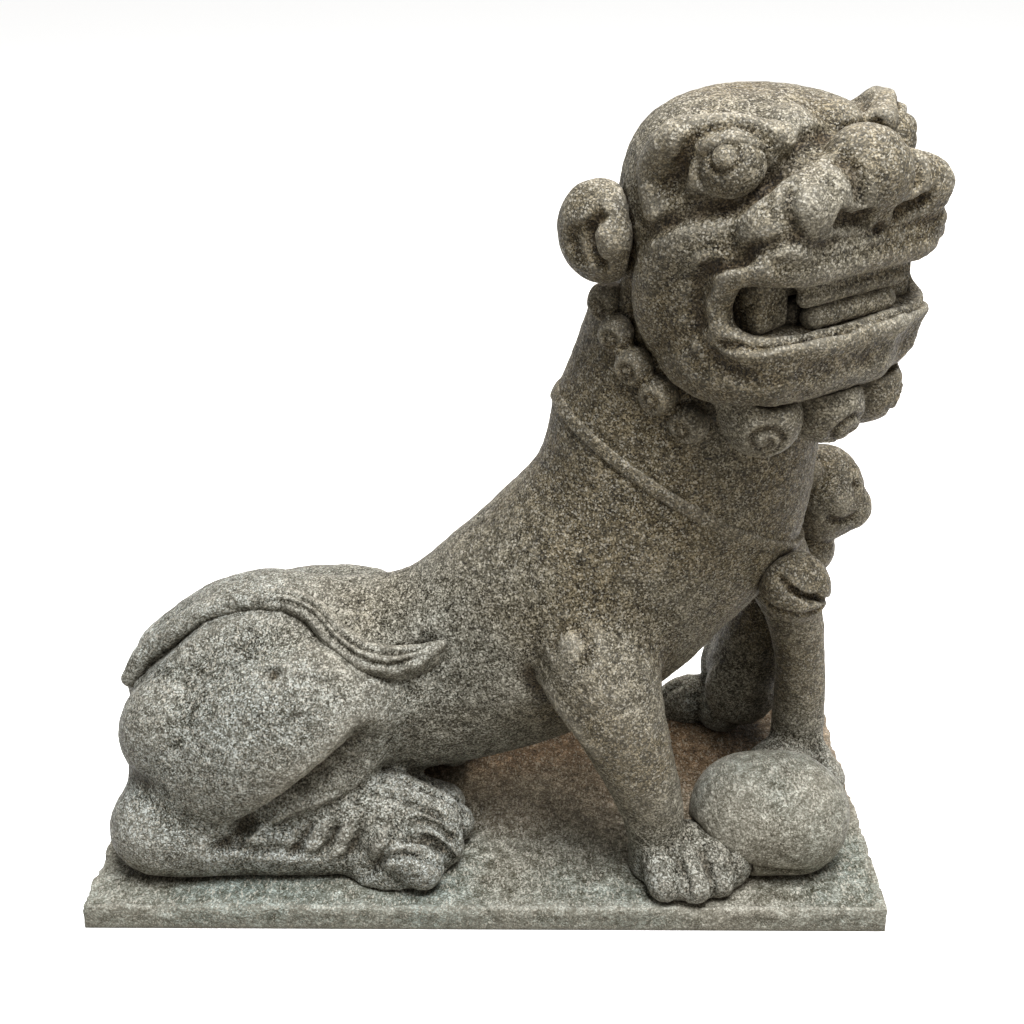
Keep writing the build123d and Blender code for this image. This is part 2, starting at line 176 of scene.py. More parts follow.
def trim(obj, place, normal):
    """Cut away everything on the normal's side of a plane and close the cut."""
    bm = bmesh.new()
    bm.from_mesh(obj.data)
    cut = bmesh.ops.bisect_plane(
        bm, geom=bm.verts[:] + bm.edges[:] + bm.faces[:], dist=0.0, plane_co=Vector(place) * MM,
        plane_no=normal, clear_outer=True,
    )
    rim = [e for e in cut["geom_cut"] if isinstance(e, bmesh.types.BMEdge)]
    for edge in rim:
        edge.smooth = False
    bmesh.ops.edgeloop_fill(bm, edges=rim)
    bmesh.ops.triangulate(bm, faces=[f for f in bm.faces if len(f.verts) > 4])
    bm.to_mesh(obj.data)
    bm.free()


def smooth_line(route, steps=14):
    """Flowing line through a few places."""
    spots = np.array(route, float)
    ends = np.vstack([2 * spots[0] - spots[1], spots, 2 * spots[-1] - spots[-2]])
    t = np.linspace(0, 1, steps, endpoint=False)[:, None]
    runs = []
    for a, b, c, d in zip(ends, ends[1:], ends[2:], ends[3:]):
        bend = (2 * a - 5 * b + 4 * c - d) * t**2
        twist = (3 * b - a - 3 * c + d) * t**3
        runs.append(0.5 * (2 * b + (c - a) * t + bend + twist))
    return np.vstack(runs + [spots[-1:]])


# Rubbing: how far each pass draws a point to its neighbours
RUB_SHARE = 0.5
# How far round a line the surface is searched for places to lay it on
LINE_REACH = 15.0
# Broad form that relief is read from, and the relief that counts as fully hollow or fully worn
BROAD_PASSES = 40
HOLLOW_DEPTH = 2.2
WORN_HEIGHT = 1.4
# Painted shade and soiling: shadow under a ledge, the share of the marks that darkens a hollow, and on
# surfaces that face down
LEDGE_SHADOW = 1.4
SHADE_SHARE = 0.5
UNDERSIDE_START = 0.15
UNDERSIDE_SHARE = 0.7


class Carving:
    """A piece's points in millimetres while the chisel works on them."""

    def __init__(self, obj):
        self.obj = obj
        mesh = obj.data
        flat = np.empty(len(mesh.vertices) * 3)
        mesh.vertices.foreach_get("co", flat)
        self.points = flat.reshape(-1, 3) / MM
        pairs = np.empty(len(mesh.edges) * 2, dtype=np.int32)
        mesh.edges.foreach_get("vertices", pairs)
        self.edges = pairs.reshape(-1, 2)
        self.links = np.bincount(pairs, minlength=len(self.points)).astype(float)
        self.shade = np.zeros(len(self.points))
        self.face_outward()

    def face_outward(self):
        """Read the surface's directions afresh."""
        mesh = self.obj.data
        mesh.vertices.foreach_set("co", (self.points * MM).ravel())
        mesh.update()
        flat = np.empty(len(self.points) * 3)
        mesh.vertices.foreach_get("normal", flat)
        self.normals = flat.reshape(-1, 3)

    def neighbours(self, values):
        """Mean of each point's neighbours."""
        a, b = self.edges.T
        count = len(self.points)
        total = np.bincount(a, values[b], count) + np.bincount(b, values[a], count)
        return total / np.maximum(self.links, 1)

    def soften(self, passes, where=None):
        """Rub the surface smooth, everywhere or as much as each point's share says."""
        chosen = np.arange(len(self.points)) if where is None else np.flatnonzero(where > 0)
        weight = RUB_SHARE if where is None else RUB_SHARE * where[chosen, None]
        place = np.full(len(self.points), -1)
        place[chosen] = np.arange(len(chosen))
        ends = np.vstack([self.edges, self.edges[:, ::-1]])
        ends = ends[place[ends[:, 0]] >= 0]
        own = place[ends[:, 0]]
        links = self.links[chosen, None]
        for _ in range(passes):
            other = self.points[ends[:, 1]]
            mean = np.stack([np.bincount(own, other[:, k], len(chosen)) for k in range(3)], axis=1) / links
            self.points[chosen] += weight * (mean - self.points[chosen])
        self.face_outward()

    def rub(self, passes, radius, places):
        """Rub the surface smooth round some places."""
        self.soften(passes, self.around(places, radius))

    def around(self, centres, radius):
        """How near each point lies to any of some places: 1 within a third of the radius, 0 beyond it."""
        gaps = [np.linalg.norm(self.points - np.array(centre), axis=1) for centre in centres]
        return np.clip(1.5 * (1 - np.min(gaps, axis=0) / radius), 0, 1)

    def push(self, amounts):
        """Move points along the surface's own direction."""
        self.points += self.normals * amounts[:, None]

    def along(self, route, reach):
        """Points near a line: which they are, how far, how far along it, and on which side."""
        line = self.laid_on(smooth_line(route))
        low = line.min(0) - reach
        high = line.max(0) + reach
        near = np.flatnonzero(((self.points > low) & (self.points < high)).all(1))
        offset = self.points[near][:, None, :] - line[None, :, :]
        gaps = np.einsum("ijk,ijk->ij", offset, offset)
        nearest = gaps.argmin(1)
        far = np.sqrt(gaps[np.arange(len(near)), nearest])
        heading = np.gradient(line, axis=0)[nearest]
        heading /= np.linalg.norm(heading, axis=1)[:, None] + 1e-9
        across = np.cross(self.normals[near], heading)
        side = np.einsum("ij,ij->i", offset[np.arange(len(near)), nearest], across)
        kept = far < reach
        return near[kept], far[kept], nearest[kept] / (len(line) - 1), side[kept]

    def laid_on(self, line):
        """The line moved onto the nearest points of the surface."""
        low = line.min(0) - LINE_REACH
        high = line.max(0) + LINE_REACH
        close = ((self.points > low) & (self.points < high)).all(1)
        pool = self.points[close] if close.any() else self.points
        laid = np.empty_like(line)
        for index, spot in enumerate(line):
            gap = pool - spot
            laid[index] = pool[np.einsum("ij,ij->i", gap, gap).argmin()]
        laid[1:-1] = (laid[:-2] + 2 * laid[1:-1] + laid[2:]) / 4
        return laid

    def faded(self, share, fade):
        """How strong a line is along its run: it dies away over a share of it at each end."""
        return np.clip(np.minimum(share, 1 - share) / fade, 0, 1) if fade else 1.0

    def groove(self, route, width, depth, fade=0.15, shade_and_grime=0.6):
        """Cut a soft-edged line; a negative depth raises a roll."""
        near, far, share, _ = self.along(route, width)
        ends = self.faded(share, fade)
        form = (1 - (far / width) ** 2) ** 2 * ends
        self.points[near] -= self.normals[near] * (depth * form)[:, None]
        # Painted shade and soiling darken the cut; on a roll they are lessened
        self.shade[near] += shade_and_grime * form * np.sign(depth)
        self.face_outward()

    def ledge(self, route, reach, height, drop, fade=0.15, where=None, soft=2.0):
        """Let the form on the line's left stand over the one on its right."""
        near, far, share, side = self.along(route, reach)
        ends = self.faded(share, fade)
        form = (1 - (far / reach) ** 2) ** 2 * ends * (1.0 if where is None else where[near])
        blend = 0.5 + 0.5 * np.tanh(side / soft)
        self.points[near] += self.normals[near] * (form * (height * blend - drop * (1 - blend)))[:, None]
        # Painted shadow on the sunk side under the ledge
        self.shade[near] += LEDGE_SHADOW * form * (1 - blend)
        self.face_outward()

    def bump(self, centre, radius, height, shade_and_grime=0.0):
        """Raise a round swelling, or sink a pit with a negative height."""
        gap = self.points - np.array(centre)
        far = np.sqrt(np.einsum("ij,ij->i", gap, gap))
        near = np.flatnonzero(far < radius)
        form = (1 - (far[near] / radius) ** 2) ** 2
        self.points[near] += self.normals[near] * (height * form)[:, None]
        # Painted shade and soiling where asked, most of all in pits
        self.shade[near] += shade_and_grime * form
        self.face_outward()

    def roughen(self, wave, height, seed):
        """Uneven hand-dressed surface."""
        shift = Vector((seed * 7.3, seed * 3.1, seed * 5.7))
        lumps = np.array([noise.noise(Vector(p) / wave + shift) for p in self.points])
        self.push(height * lumps)
        self.face_outward()

    def dress(self, waves):
        """Uneven surface from several waves, each with its height and its seed."""
        for wave, height, seed in waves:
            self.roughen(wave, height, seed)

    def finish(self):
        """Keep inside the solids' box and store how hollow or worn each point is, with the painted shade and
        soiling of grooves, ledges and undersides.
        """
        low = np.array(CAD_BOX[0]) / MM
        high = np.array(CAD_BOX[1]) / MM
        self.points = np.clip(self.points, low, high)
        self.face_outward()
        broad = self.points.copy()
        for _ in range(BROAD_PASSES):
            mean = np.stack([self.neighbours(broad[:, k]) for k in range(3)], axis=1)
            broad += RUB_SHARE * (mean - broad)
        relief = np.einsum("ij,ij->i", self.points - broad, self.normals)
        # Painted shade and soiling on surfaces that face down
        underside_shade_and_soiling = np.clip(-self.normals[:, 2] - UNDERSIDE_START, 0, 1) * UNDERSIDE_SHARE
        hollow = np.clip(-relief / HOLLOW_DEPTH + self.shade * SHADE_SHARE + underside_shade_and_soiling, 0, 1)
        worn = np.clip(relief / WORN_HEIGHT, 0, 1)
        for name, values in (("hollow", hollow), ("worn", worn)):
            layer = self.obj.data.attributes.new(name, "FLOAT", "POINT")
            layer.data.foreach_set("value", values)


def carved_piece(obj, material, *nodes):
    """Give a finished piece its stone, its body and the solids that it stands for."""
    for face in obj.data.polygons:
        face.use_smooth = True
    obj.data.materials.clear()
    obj.data.materials.append(material)
    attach(obj, "root")
    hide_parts(*nodes)


def add_node(tree, kind, settings=None, inputs=None):
    """Add a node with its settings, its values and the sockets that feed it."""
    node = tree.nodes.new(kind)
    for name, value in (settings or {}).items():
        setattr(node, name, value)
    for name, value in (inputs or {}).items():
        if isinstance(value, bpy.types.NodeSocket):
            tree.links.new(value, node.inputs[name])
        else:
            node.inputs[name].default_value = value
    return node


def ranged(tree, value, low, high, to_low=0.0, to_high=1.0):
    """A value moved from one range into another and held in it."""
    return add_node(tree, "ShaderNodeMapRange", inputs={
        "Value": value, "From Min": low, "From Max": high, "To Min": to_low, "To Max": to_high}).outputs[0]


def reckon(tree, operation, first, second, held=False):
    """Two values added, multiplied or compared; held keeps the answer from 0 to 1."""
    return add_node(tree, "ShaderNodeMath", {"operation": operation, "use_clamp": held}, {
        0: first, 1: second}).outputs[0]


def clouds(tree, place, spacing, detail):
    """Outputs of a noise with a spacing in metres."""
    return add_node(tree, "ShaderNodeTexNoise", inputs={
        "Vector": place, "Scale": 1 / spacing, "Detail": detail}).outputs


def blended(tree, factor, first, second, kind="MIX"):
    """Two colours mixed."""
    return add_node(tree, "ShaderNodeMix", {"data_type": "RGBA", "blend_type": kind}, {
        "Factor": factor, 6: first, 7: second}).outputs[2]


def set_ramp(ramp, stops):
    """Fill a colour ramp from its stops."""
    marks = ramp.color_ramp.elements
    while len(marks) < len(stops):
        marks.new(0.5)
    for mark, (place, colour) in zip(marks, stops):
        mark.position = place
        mark.color = colour


def granite(context, name, cast, browned, rise, spread):
    """Pecked granite: dull close grains under peck marks, painted shade and soiling in hollows, rubbed pale
    on the edges.

    The cast goes from its cool to its warm colour along an axis and with height. The spread is the share
    of the grains' contrast that is kept.
    """
    colours = context.scene.lion_colours
    sizes = context.scene.lion_sizes
    cool, warm = cast
    axis, start, end = browned
    low, high = rise
    material = bpy.data.materials.new(name)
    material.use_nodes = True
    tree = material.node_tree
    tree.nodes.clear()
    place = add_node(tree, "ShaderNodeTexCoord").outputs["Object"]
    # Grains, pulled out of round by a finer wander
    wander = clouds(tree, place, sizes.wander, 1.0)["Color"]
    drift = add_node(tree, "ShaderNodeVectorMath", {"operation": "MULTIPLY_ADD"}, {
        0: wander, 1: (sizes.drift,) * 3, 2: place}).outputs[0]
    grains = add_node(tree, "ShaderNodeTexVoronoi", inputs={"Vector": drift, "Scale": 1 / sizes.grain})
    pick = add_node(tree, "ShaderNodeSeparateColor", inputs={"Color": grains.outputs["Color"]})
    # Grains gather into darker and paler patches
    lean = ranged(tree, clouds(tree, place, sizes.patch, 3.0)["Fac"], 0.3, 0.7, -0.22, 0.22)
    contrast = ranged(tree, pick.outputs["Red"], 0.0, 1.0, 0.5 - spread / 2, 0.5 + spread / 2)
    level = reckon(tree, "ADD", contrast, lean, held=True)
    tones = add_node(tree, "ShaderNodeValToRGB", inputs={"Fac": level})
    set_ramp(tones, [
        (0.00, colours.dark_grain), (0.20, colours.olive_grain), (0.55, colours.grey_grain),
        (0.82, colours.beige_grain), (1.00, colours.pale_grain),
    ])
    # Broad stains between the cool and the warm cast
    blotch = ranged(tree, clouds(tree, place, sizes.stain, 3.0)["Fac"], 0.36, 0.64, 0.0, 0.4)
    axes = add_node(tree, "ShaderNodeSeparateXYZ", inputs={"Vector": place})
    ahead = ranged(tree, axes.outputs[axis], start * MM, end * MM, 0.0, 0.8)
    upward = ranged(tree, axes.outputs["Z"], low * MM, high * MM)
    handled = reckon(tree, "MULTIPLY", ahead, upward)
    tint = blended(tree, reckon(tree, "ADD", handled, blotch, held=True), cool, warm)
    tinted = blended(tree, 1.0, tones.outputs["Color"], tint, "MULTIPLY")
    # Pale flecks of feldspar here and there, as wide as a grain and two and a half times as long
    lengthwise = add_node(tree, "ShaderNodeMapping", inputs={
        "Vector": drift, "Rotation": (0.5, 0.3, 0.9), "Scale": (1.0, 0.4, 1.0)})
    flecks = add_node(tree, "ShaderNodeTexVoronoi", inputs={
        "Vector": lengthwise.outputs[0], "Scale": 1 / sizes.grain})
    chance = add_node(tree, "ShaderNodeSeparateColor", inputs={"Color": flecks.outputs["Color"]})
    rare = ranged(tree, chance.outputs["Red"], 0.78, 0.95, 0.0, 0.5)
    flecked = blended(tree, rare, tinted, colours.fleck)
    # Painted shade and soiling in hollows, on undersides and near other stone; high parts are rubbed pale
    hollow = add_node(tree, "ShaderNodeAttribute", {"attribute_name": "hollow"}).outputs["Fac"]
    worn = add_node(tree, "ShaderNodeAttribute", {"attribute_name": "worn"}).outputs["Fac"]
    occlusion_shade = add_node(tree, "ShaderNodeAmbientOcclusion", {"samples": 6}, {"Distance": sizes.occlusion_shade})
    dirt_and_shade = ranged(tree, occlusion_shade.outputs["AO"], 0.1, 0.5, 1.0, 0.0)
    shade_and_grime = reckon(tree, "MULTIPLY", reckon(tree, "MAXIMUM", hollow, dirt_and_shade), 0.85)
    grimed = blended(tree, shade_and_grime, flecked, colours.shade_and_grime, "MULTIPLY")
    rubbed = blended(tree, reckon(tree, "MULTIPLY", worn, 0.4), grimed, colours.worn_edge, "SCREEN")
    # Peck marks over the grains' own facets
    facets = reckon(tree, "MULTIPLY", pick.outputs["Green"], 0.25)
    height = reckon(tree, "ADD", clouds(tree, place, sizes.peck, 4.0)["Fac"], facets)
    bump = add_node(tree, "ShaderNodeBump", inputs={
        "Strength": 0.9, "Distance": sizes.peck_depth, "Height": height})
    gloss = ranged(tree, pick.outputs["Blue"], 0.0, 1.0, 0.42, 0.8)
    stone = add_node(tree, "ShaderNodeBsdfPrincipled", inputs={
        "Base Color": rubbed, "Roughness": gloss, "Normal": bump.outputs[0], "Specular IOR Level": 0.12})
    add_node(tree, "ShaderNodeOutputMaterial", inputs={"Surface": stone.outputs[0]})
    return material


# The two finishes of the granite
CARVED = "pecked_granite"
TRODDEN = "trodden_granite"


def stone_of(context, kind):
    """The granite for carved parts or for trodden ones, made when first asked for."""
    colours = context.scene.lion_colours
    found = bpy.data.materials.get(kind)
    if found:
        return found
    if kind == CARVED:
        cast = (colours.carved_cool, colours.carved_warm)
        return granite(context, kind, cast, browned=("X", -150, 60), rise=(25, 90), spread=1.0)
    cast = (colours.trodden_cool, colours.trodden_warm)
    return granite(context, kind, cast, browned=("Y", -45, 30), rise=(-20, -10), spread=0.62)


# The lion's two sides, and the way that each lies from its middle
SIDES = (("right", -1), ("left", 1))


def on_side(place, side):
    """A place given on the left side, or its twin on the right when side is -1."""
    x, y, z = place
    return (x, side * y, z)


def begin(bm, name, cell, passes):
    """One skin over the masses of a bmesh, rubbed smooth, with its carving begun."""
    piece = link_object(name, bm)
    recut(piece, cell)
    work = Carving(piece)
    work.soften(passes)
    return piece, work


def small_piece(node, cell, passes, filling=None):
    """Stone skin of one CAD node, with its carving begun; the filling is an egg that closes a hollow."""
    bm = bmesh.new()
    if filling:
        add_egg(bm, *filling)
    copy_nodes(bm, [node])
    return begin(bm, f"{node}_stone", cell, passes)


def complete(context, piece, work, *nodes, kind=CARVED):
    """Finish a piece's carving and hand it over in its stone."""
    work.finish()
    carved_piece(piece, stone_of(context, kind), *nodes)


def mirrored(route):
    """The same line on the lion's other side, running the other way."""
    return [(x, -y, z) for x, y, z in reversed(route)]


def curl(centre, normal, radius, turns, inner=0.15):
    """Places along a flat spiral from its rim inwards, seen along the normal; a ring when inner is 1."""
    out = Vector(normal).normalized()
    across = out.orthogonal().normalized()
    up = out.cross(across)
    places = []
    steps = int(turns * 12)
    for index in range(steps + 1):
        share = index / steps
        angle = 2 * math.pi * turns * share
        reach = radius * (1 - (1 - inner) * share)
        places.append(tuple(Vector(centre) + reach * (math.cos(angle) * across + math.sin(angle) * up)))
    return places


def face_direction(forward, left, up):
    """Direction on the turned head, in the statue's frame."""
    return Vector(face_point(forward, left, up)) - Vector(HEAD)


# Lines on the body, on the right side
THIGH_FRONT = [
    (-140, -82, 37), (-126, -80, 43), (-107, -79, 57), (-88, -79, 73), (-75, -78, 83), (-63, -73, 95),
    (-55, -66, 108),
]
HOCK_CREASE = [(-184, -36, 64), (-177, -56, 66), (-166, -69, 67), (-150, -77, 66)]
THIGH_BAND = [(-44, -58, 90), (-51, -58, 78), (-57, -57, 64)]
SHANK_TOP = [(-132, -80, 38), (-121, -77, 36), (-104, -77, 35), (-92, -77, 33), (-78, -77, 29)]
FUR_LOCKS = [
    [(-99, -79, 31), (-93, -77, 35), (-88, -72, 43), (-86, -69, 50)],
    [(-87, -78, 29), (-79, -75, 34), (-74, -72, 42), (-71, -69, 51)],
    [(-74, -77, 26), (-66, -75, 32), (-62, -73, 41), (-58, -69, 52)],
    [(-63, -80, 15), (-53, -83, 30), (-45, -81, 43), (-42, -70, 51)],
]
OUTER_TOES = [
    [(-54, -81, 27), (-39, -85, 38), (-27, -84, 34), (-17, -80, 22)],
    [(-41, -80, 43), (-30, -74, 39), (-20, -70, 29), (-13, -67, 17)],
    [(-40, -71, 47), (-29, -66, 43), (-19, -66, 36), (-12, -66, 27)],
    [(-56, -62, 58), (-42, -63, 55), (-27, -63, 48), (-14, -62, 36)],
]
ELBOW_BACK = [(27, -51, 132), (29, -52, 120), (36, -62, 114), (44, -69, 106), (51, -74, 98), (59, -78, 88)]
SHOULDER_CURL = (44, -64, 145)
SHOULDER_OUT = (-0.5, -0.75, 0.43)
HAUNCH_PIT = (-101, -59, 127)
# Height of the instep along the foot, over which the thigh sinks back, and the clay on the left one
INSTEP_LINE = [(-140, 24), (-112, 45), (-92, 57), (-50, 62)]
INSTEP_BLEND = 8.0
INSTEP = [((-122, 58, 26), 15), ((-92, 55, 35), 20), ((-50, 53, 38), 23), ((-30, 53, 31), 20)]

# Lines on the ball, the bell and the cub, and clay on the cub: eggs by middle and radii, and its tail
BALL_RIM = [(122, -72, 28), (138, -79, 24), (152, -80, 20), (166, -76, 19), (180, -63, 20), (187, -48, 22)]
BELL_FOLDS = [
    [(141, -44, 174), (150, -49, 168), (158, -52, 163), (166, -48, 165)],
    [(137, -37, 160), (147, -50, 155), (158, -52, 154), (168, -44, 157)],
]
CUB_MOUTH = [(178, 24, 171), (184, 25, 167), (191, 27, 166), (197, 31, 169)]
CUB_EYE = (195, 33, 185)
CUB_CHEEK = (187, 25, 177)
CUB_CLAY = [
    ((119, 82, 20), (21, 15, 17)), ((174, 51, 141), (17, 17, 18)), ((146, 56, 46), (22, 14, 24)),
    ((146, 84, 46), (22, 14, 24)), ((171, 31, 191), (7, 6, 9)), ((169, 63, 191), (7, 6, 9)),
]
CUB_TAIL = ((142, 88, 52), (152, 90, 86))
CUB_TOES = [
    [(114, 77, 36), (106, 77, 32), (99, 77, 20)],
    [(114, 88, 36), (106, 88, 32), (99, 88, 20)],
]

# Where the body skin is parted, behind the forelegs and ahead of the hind toes
WAIST_X = -2.0

# Tail: middle of the bar from the rump to the flank, with its half width at each place
TAIL_ROUTE = [
    (-184, -22, 101), (-176, -21, 114), (-159, -20, 128), (-143, -17, 138), (-121, -15, 143),
    (-98, -18, 145), (-83, -25, 141), (-72, -37, 134), (-57, -46, 128), (-44, -46, 125),
    (-31, -44, 127), (-18, -43, 134),
]
TAIL_RADII = [5.0, 6.0, 6.0, 6.0, 6.0, 6.5, 7.0, 7.5, 8.5, 8.5, 6.5, 2.5]
# A thinner core sinks the tail into the body; two lines lie on its outer face, one over the other
TAIL_CORE = Vector((3, 3, -5))
CORE_SHARE = 0.8
STRANDS = [Vector((0, -8.05, 3.15)), Vector((0, -3.15, 8.05))]

# Face, in the head's own frame: forward, left, up. Lines are given on its right half, clay on its left.
BROW_CLAY = [
    ((13, 30, 50), 7), ((2, 46, 51), 9), ((-14, 59, 49), 9.5), ((-30, 57, 37), 9.5), ((-22, 59, 19), 8),
]
NOSE_CLAY = [((31, 31, 27), 13), ((31, 0, 33), 17)]
BROW_GAP = [(16, -36, 48), (8, -46, 55), (0, -57, 55), (-5, -63, 49), (-10, -62, 39), (-11, -60, 31)]
LOWER_LID = [(-3, -61, 34), (1, -59, 31), (8, -56, 30), (14, -49, 33), (15, -39, 40)]
EYE_CREASE = [
    (17, -28, 42), (16, -39, 34), (12, -49, 27), (2, -57, 22), (-7, -61, 20), (-17, -64, 15), (-32, -65, 8),
]
EYE_PITS = [(-2, -58, 25), (6, -54, 26)]
CHEEK_ROLL = [
    (22, -40, 34), (10, -53, 22), (-8, -61, 10), (-22, -65, -2), (-30, -64, -22), (-30, -58, -44),
    (-16, -54, -60),
]
CHEEK_BACK = [(-34, -65, 10), (-45, -63, -10), (-50, -57, -38), (-45, -52, -58)]
TEMPLE_ROLL = [(-12, -63, 56), (-20, -66, 46), (-26, -66, 32), (-22, -65, 17), (-14, -64, 8)]
FOREHEAD_LUMP = (4, -15, 53)
FOREHEAD_CREASE = [(15, -31, 48), (14, -16, 48), (16, 0, 49)]
NOSE_SIDE = [(30, -40, 39), (35, -48, 30), (38, -48, 21), (41, -43, 15)]
NOSE_GAP = [(30, -20, 47), (40, -18, 36), (43, -16, 24)]
NOSTRIL = [(44, -31, 24), (43, -22, 21), (42, -13, 20), (42, -5, 21)]
NOSE_WING = (43, -41, 25)
LIP_CREASE = [
    (4, -62, -1), (13, -60, 5), (24, -57, 11), (34, -53, 15), (39, -47, 16), (42, -36, 12), (42, -21, 13),
    (42, 0, 14),
]
LIP_CORNER_CLAY = [
    ((30, 53, 3), 5), ((15, 57, -2), 5.5), ((8, 56, -15), 5.5), ((11, 56, -26), 5.5), ((24, 53, -31), 5),
]
CORNER_CREASE = [
    (30, -54, 13), (14, -59, 7), (3, -62, -2), (-1, -62, -15), (1, -62, -28), (13, -61, -37), (29, -56, -40),
]
GUM_LINE = [(10, -61, -30), (22, -58, -29), (30, -53, -28), (35, -41, -26), (38, -20, -26), (38, 0, -26)]
CHIN_CREASE = [(2, -61, -42), (20, -59, -43), (36, -46, -43), (42, -22, -43), (42, 0, -43)]
# Rolls across the mouth: how far forward each lies, its half length and height, and its radius
TEETH_ROLLS = [((29, 30, -5), 4.8), ((30, 28, -12.5), 4.2), ((16, 28, -8), 7)]
TONGUE_ROLLS = [((29, 22, -22), 5.4), ((16, 20, -24), 7)]
EAR_FOLD = [(-44, -74, 20), (-52, -72, 8), (-50, -72, -3), (-42, -73, -10)]

# Eyes, ears, beard and jaw curls, in the head's own frame and on its left half. An eye or a beard lobe has
# a middle, a direction that it faces, and the reach from its middle to the carving on it.
EYE_MIDDLE = (2, 46, 39)
EYE_GAZE = (5, 10, 6)
EYE_REACH = 14.2
EYE_SWELL = 1.2
EAR_EGG = ((-56, 66, 3), (15, 10, 16))
EAR_LOBE = (-40, 75, 4)
BEARDS = (("right", -1), ("middle", 0), ("left", 1))
BEARD_MIDDLE = (14, 33, -70)
BEARD_OUT = (1.0, 0.825, -0.35)
BEARD_REACH = 17.0
# The row of jaw curls runs from its first middle, and bows outwards on the way
CURL_COUNT = 5
CURL_FIRST = (-66, 53, -31)
CURL_RUN = (48, -8, -47)
CURL_BOW = 8.0
CURL_OUT = (0.25, 1.0, -0.1)
CURL_REACH = 9.0

# Toes: gaps between them across the paw, and the way that a gap runs; a forepaw's place and its turn
HIND_TOE_GAPS = (52.0, 34.0)
HIND_GAP_RUN = [(-46, 54), (-34, 50), (-21, 38), (-13, 18)]
FORE_TOE_GAPS = (-13.5, 0.0, 13.5)
FORE_GAP_RUN = [(9, 38), (17, 34), (25, 28), (30, 16)]
FOREPAWS = [(104.0, -66.0, -68.0), (166.0, 9.0, -72.0)]

# Clay on the body: eggs behind the haunches, on the left side, and between the right paw and the ball
HAUNCH_EGG = ((-150, 40, 82), (37, 32, 34))
BALL_WEB = [((114, -63, 25), (18, 15, 14)), ((120, -74, 24), (15, 13, 15))]
# Corners of the boxes where toes and fur need finer faces
FINE_BOXES = [((-128, -92, 8), (5, -30, 64)), ((-60, 10, 0), (5, 90, 62)), ((76, -105, 0), (140, -38, 46))]
PAW_MIDDLES = [(-40, -52, 25), (-40, 52, 25), (106, -70, 25), (168, 5, 25)]
# Places that are rubbed smooth: passes, radius, middles; those of the sides are given on the left
SIDE_RUBS = [
    (50, 48, [(56, 42, 165)]),
    (40, 38, [(-80, 40, 142), (-130, 30, 138), (-70, 14, 148)]),
    (90, 42, [(-34, 58, 92), (-40, 52, 112)]),
]
WEB_RUB = (40, 17, [(113, -68, 34), (110, -62, 38)])
BACK_RUB = (60, 42, [(-66, 8, 146), (-46, 0, 148)])
# Hollows along the back: middle, radius, height
BACK_HOLLOWS = [((-174, -6, 126), 42, -9.0), ((-84, 42, 138), 38, -6.0), ((2, 0, 188), 36, -4.0)]

# Head: its solids, and clay on the neck, the crown and the jaw's left corner
FACE_NODES = [
    "skull", "muzzle", "lower_jaw", "nose", "upper_lip", "lower_lip", "right_eyelids", "left_eyelids",
]
NECK_EGG = ((132, 4, 292), (48, 46, 38))
CROWN_EGG = ((-30, 0, 22), (46, 54, 38))
JAW_EGG = ((-2, 45, -44), (34, 17, 19))
NECK_ROOT = (79.0, 0.0, 180.0)
# Rubbed places on the head: those of the neck in the statue's frame, the others in the head's own
NECK_BACK = [(122, 22, 298), (150, 36, 292), (104, 6, 300)]
NAPE_RIM = [(65, 0, 315), (74, 25, 313), (74, -25, 313), (97, 41, 309)]
SKULL_BACK = [(-52, left, up) for left in (-34, 0, 34) for up in (15, 45)]
JAW_CORNERS = [(20, -50, -58), (20, 50, -58), (36, 0, -58)]
JAW_CUTS = [((40, -42, -47), -4.0), ((40, 40, -47), -9.0)]
LIP_ENDS = [(34, -50, 1), (34, -50, -32), (34, 50, 1), (34, 50, -32)]
NOSE_BACK = [(34, -18, 30), (34, 18, 30)]

# Waves of the hand-dressed surface: length, height, seed
HAND_DRESSED = [(30, 0.9, 1), (7, 0.35, 2), (3.4, 0.3, 14)]
CUB_DRESSED = [(9, 0.6, 13), (3.4, 0.3, 14)]

# Slab's edge: waves of the chips with their shares, how readily stone chips, and how much at the most
CHIP_WAVES = ((9.0, 1.0), (3.5, 0.6))
CHIP_EASE = 0.25
CHIP_LIMIT = 1.2
# Reach of the chips from the edge, the band of it that also gives sideways, and by how much
CHIP_REACH = 6.0
EDGE_BAND = 2.5
EDGE_INSET = 1.6
# The slab's lowest layer stays whole; over it, within the edge, the top is uneven and a little worn down
WHOLE_LAYER = 3.0
TOP_INSET = 3.0
TOP_WAVE = 26.0
TOP_LUMPS = 0.8
TOP_WEAR = 0.6


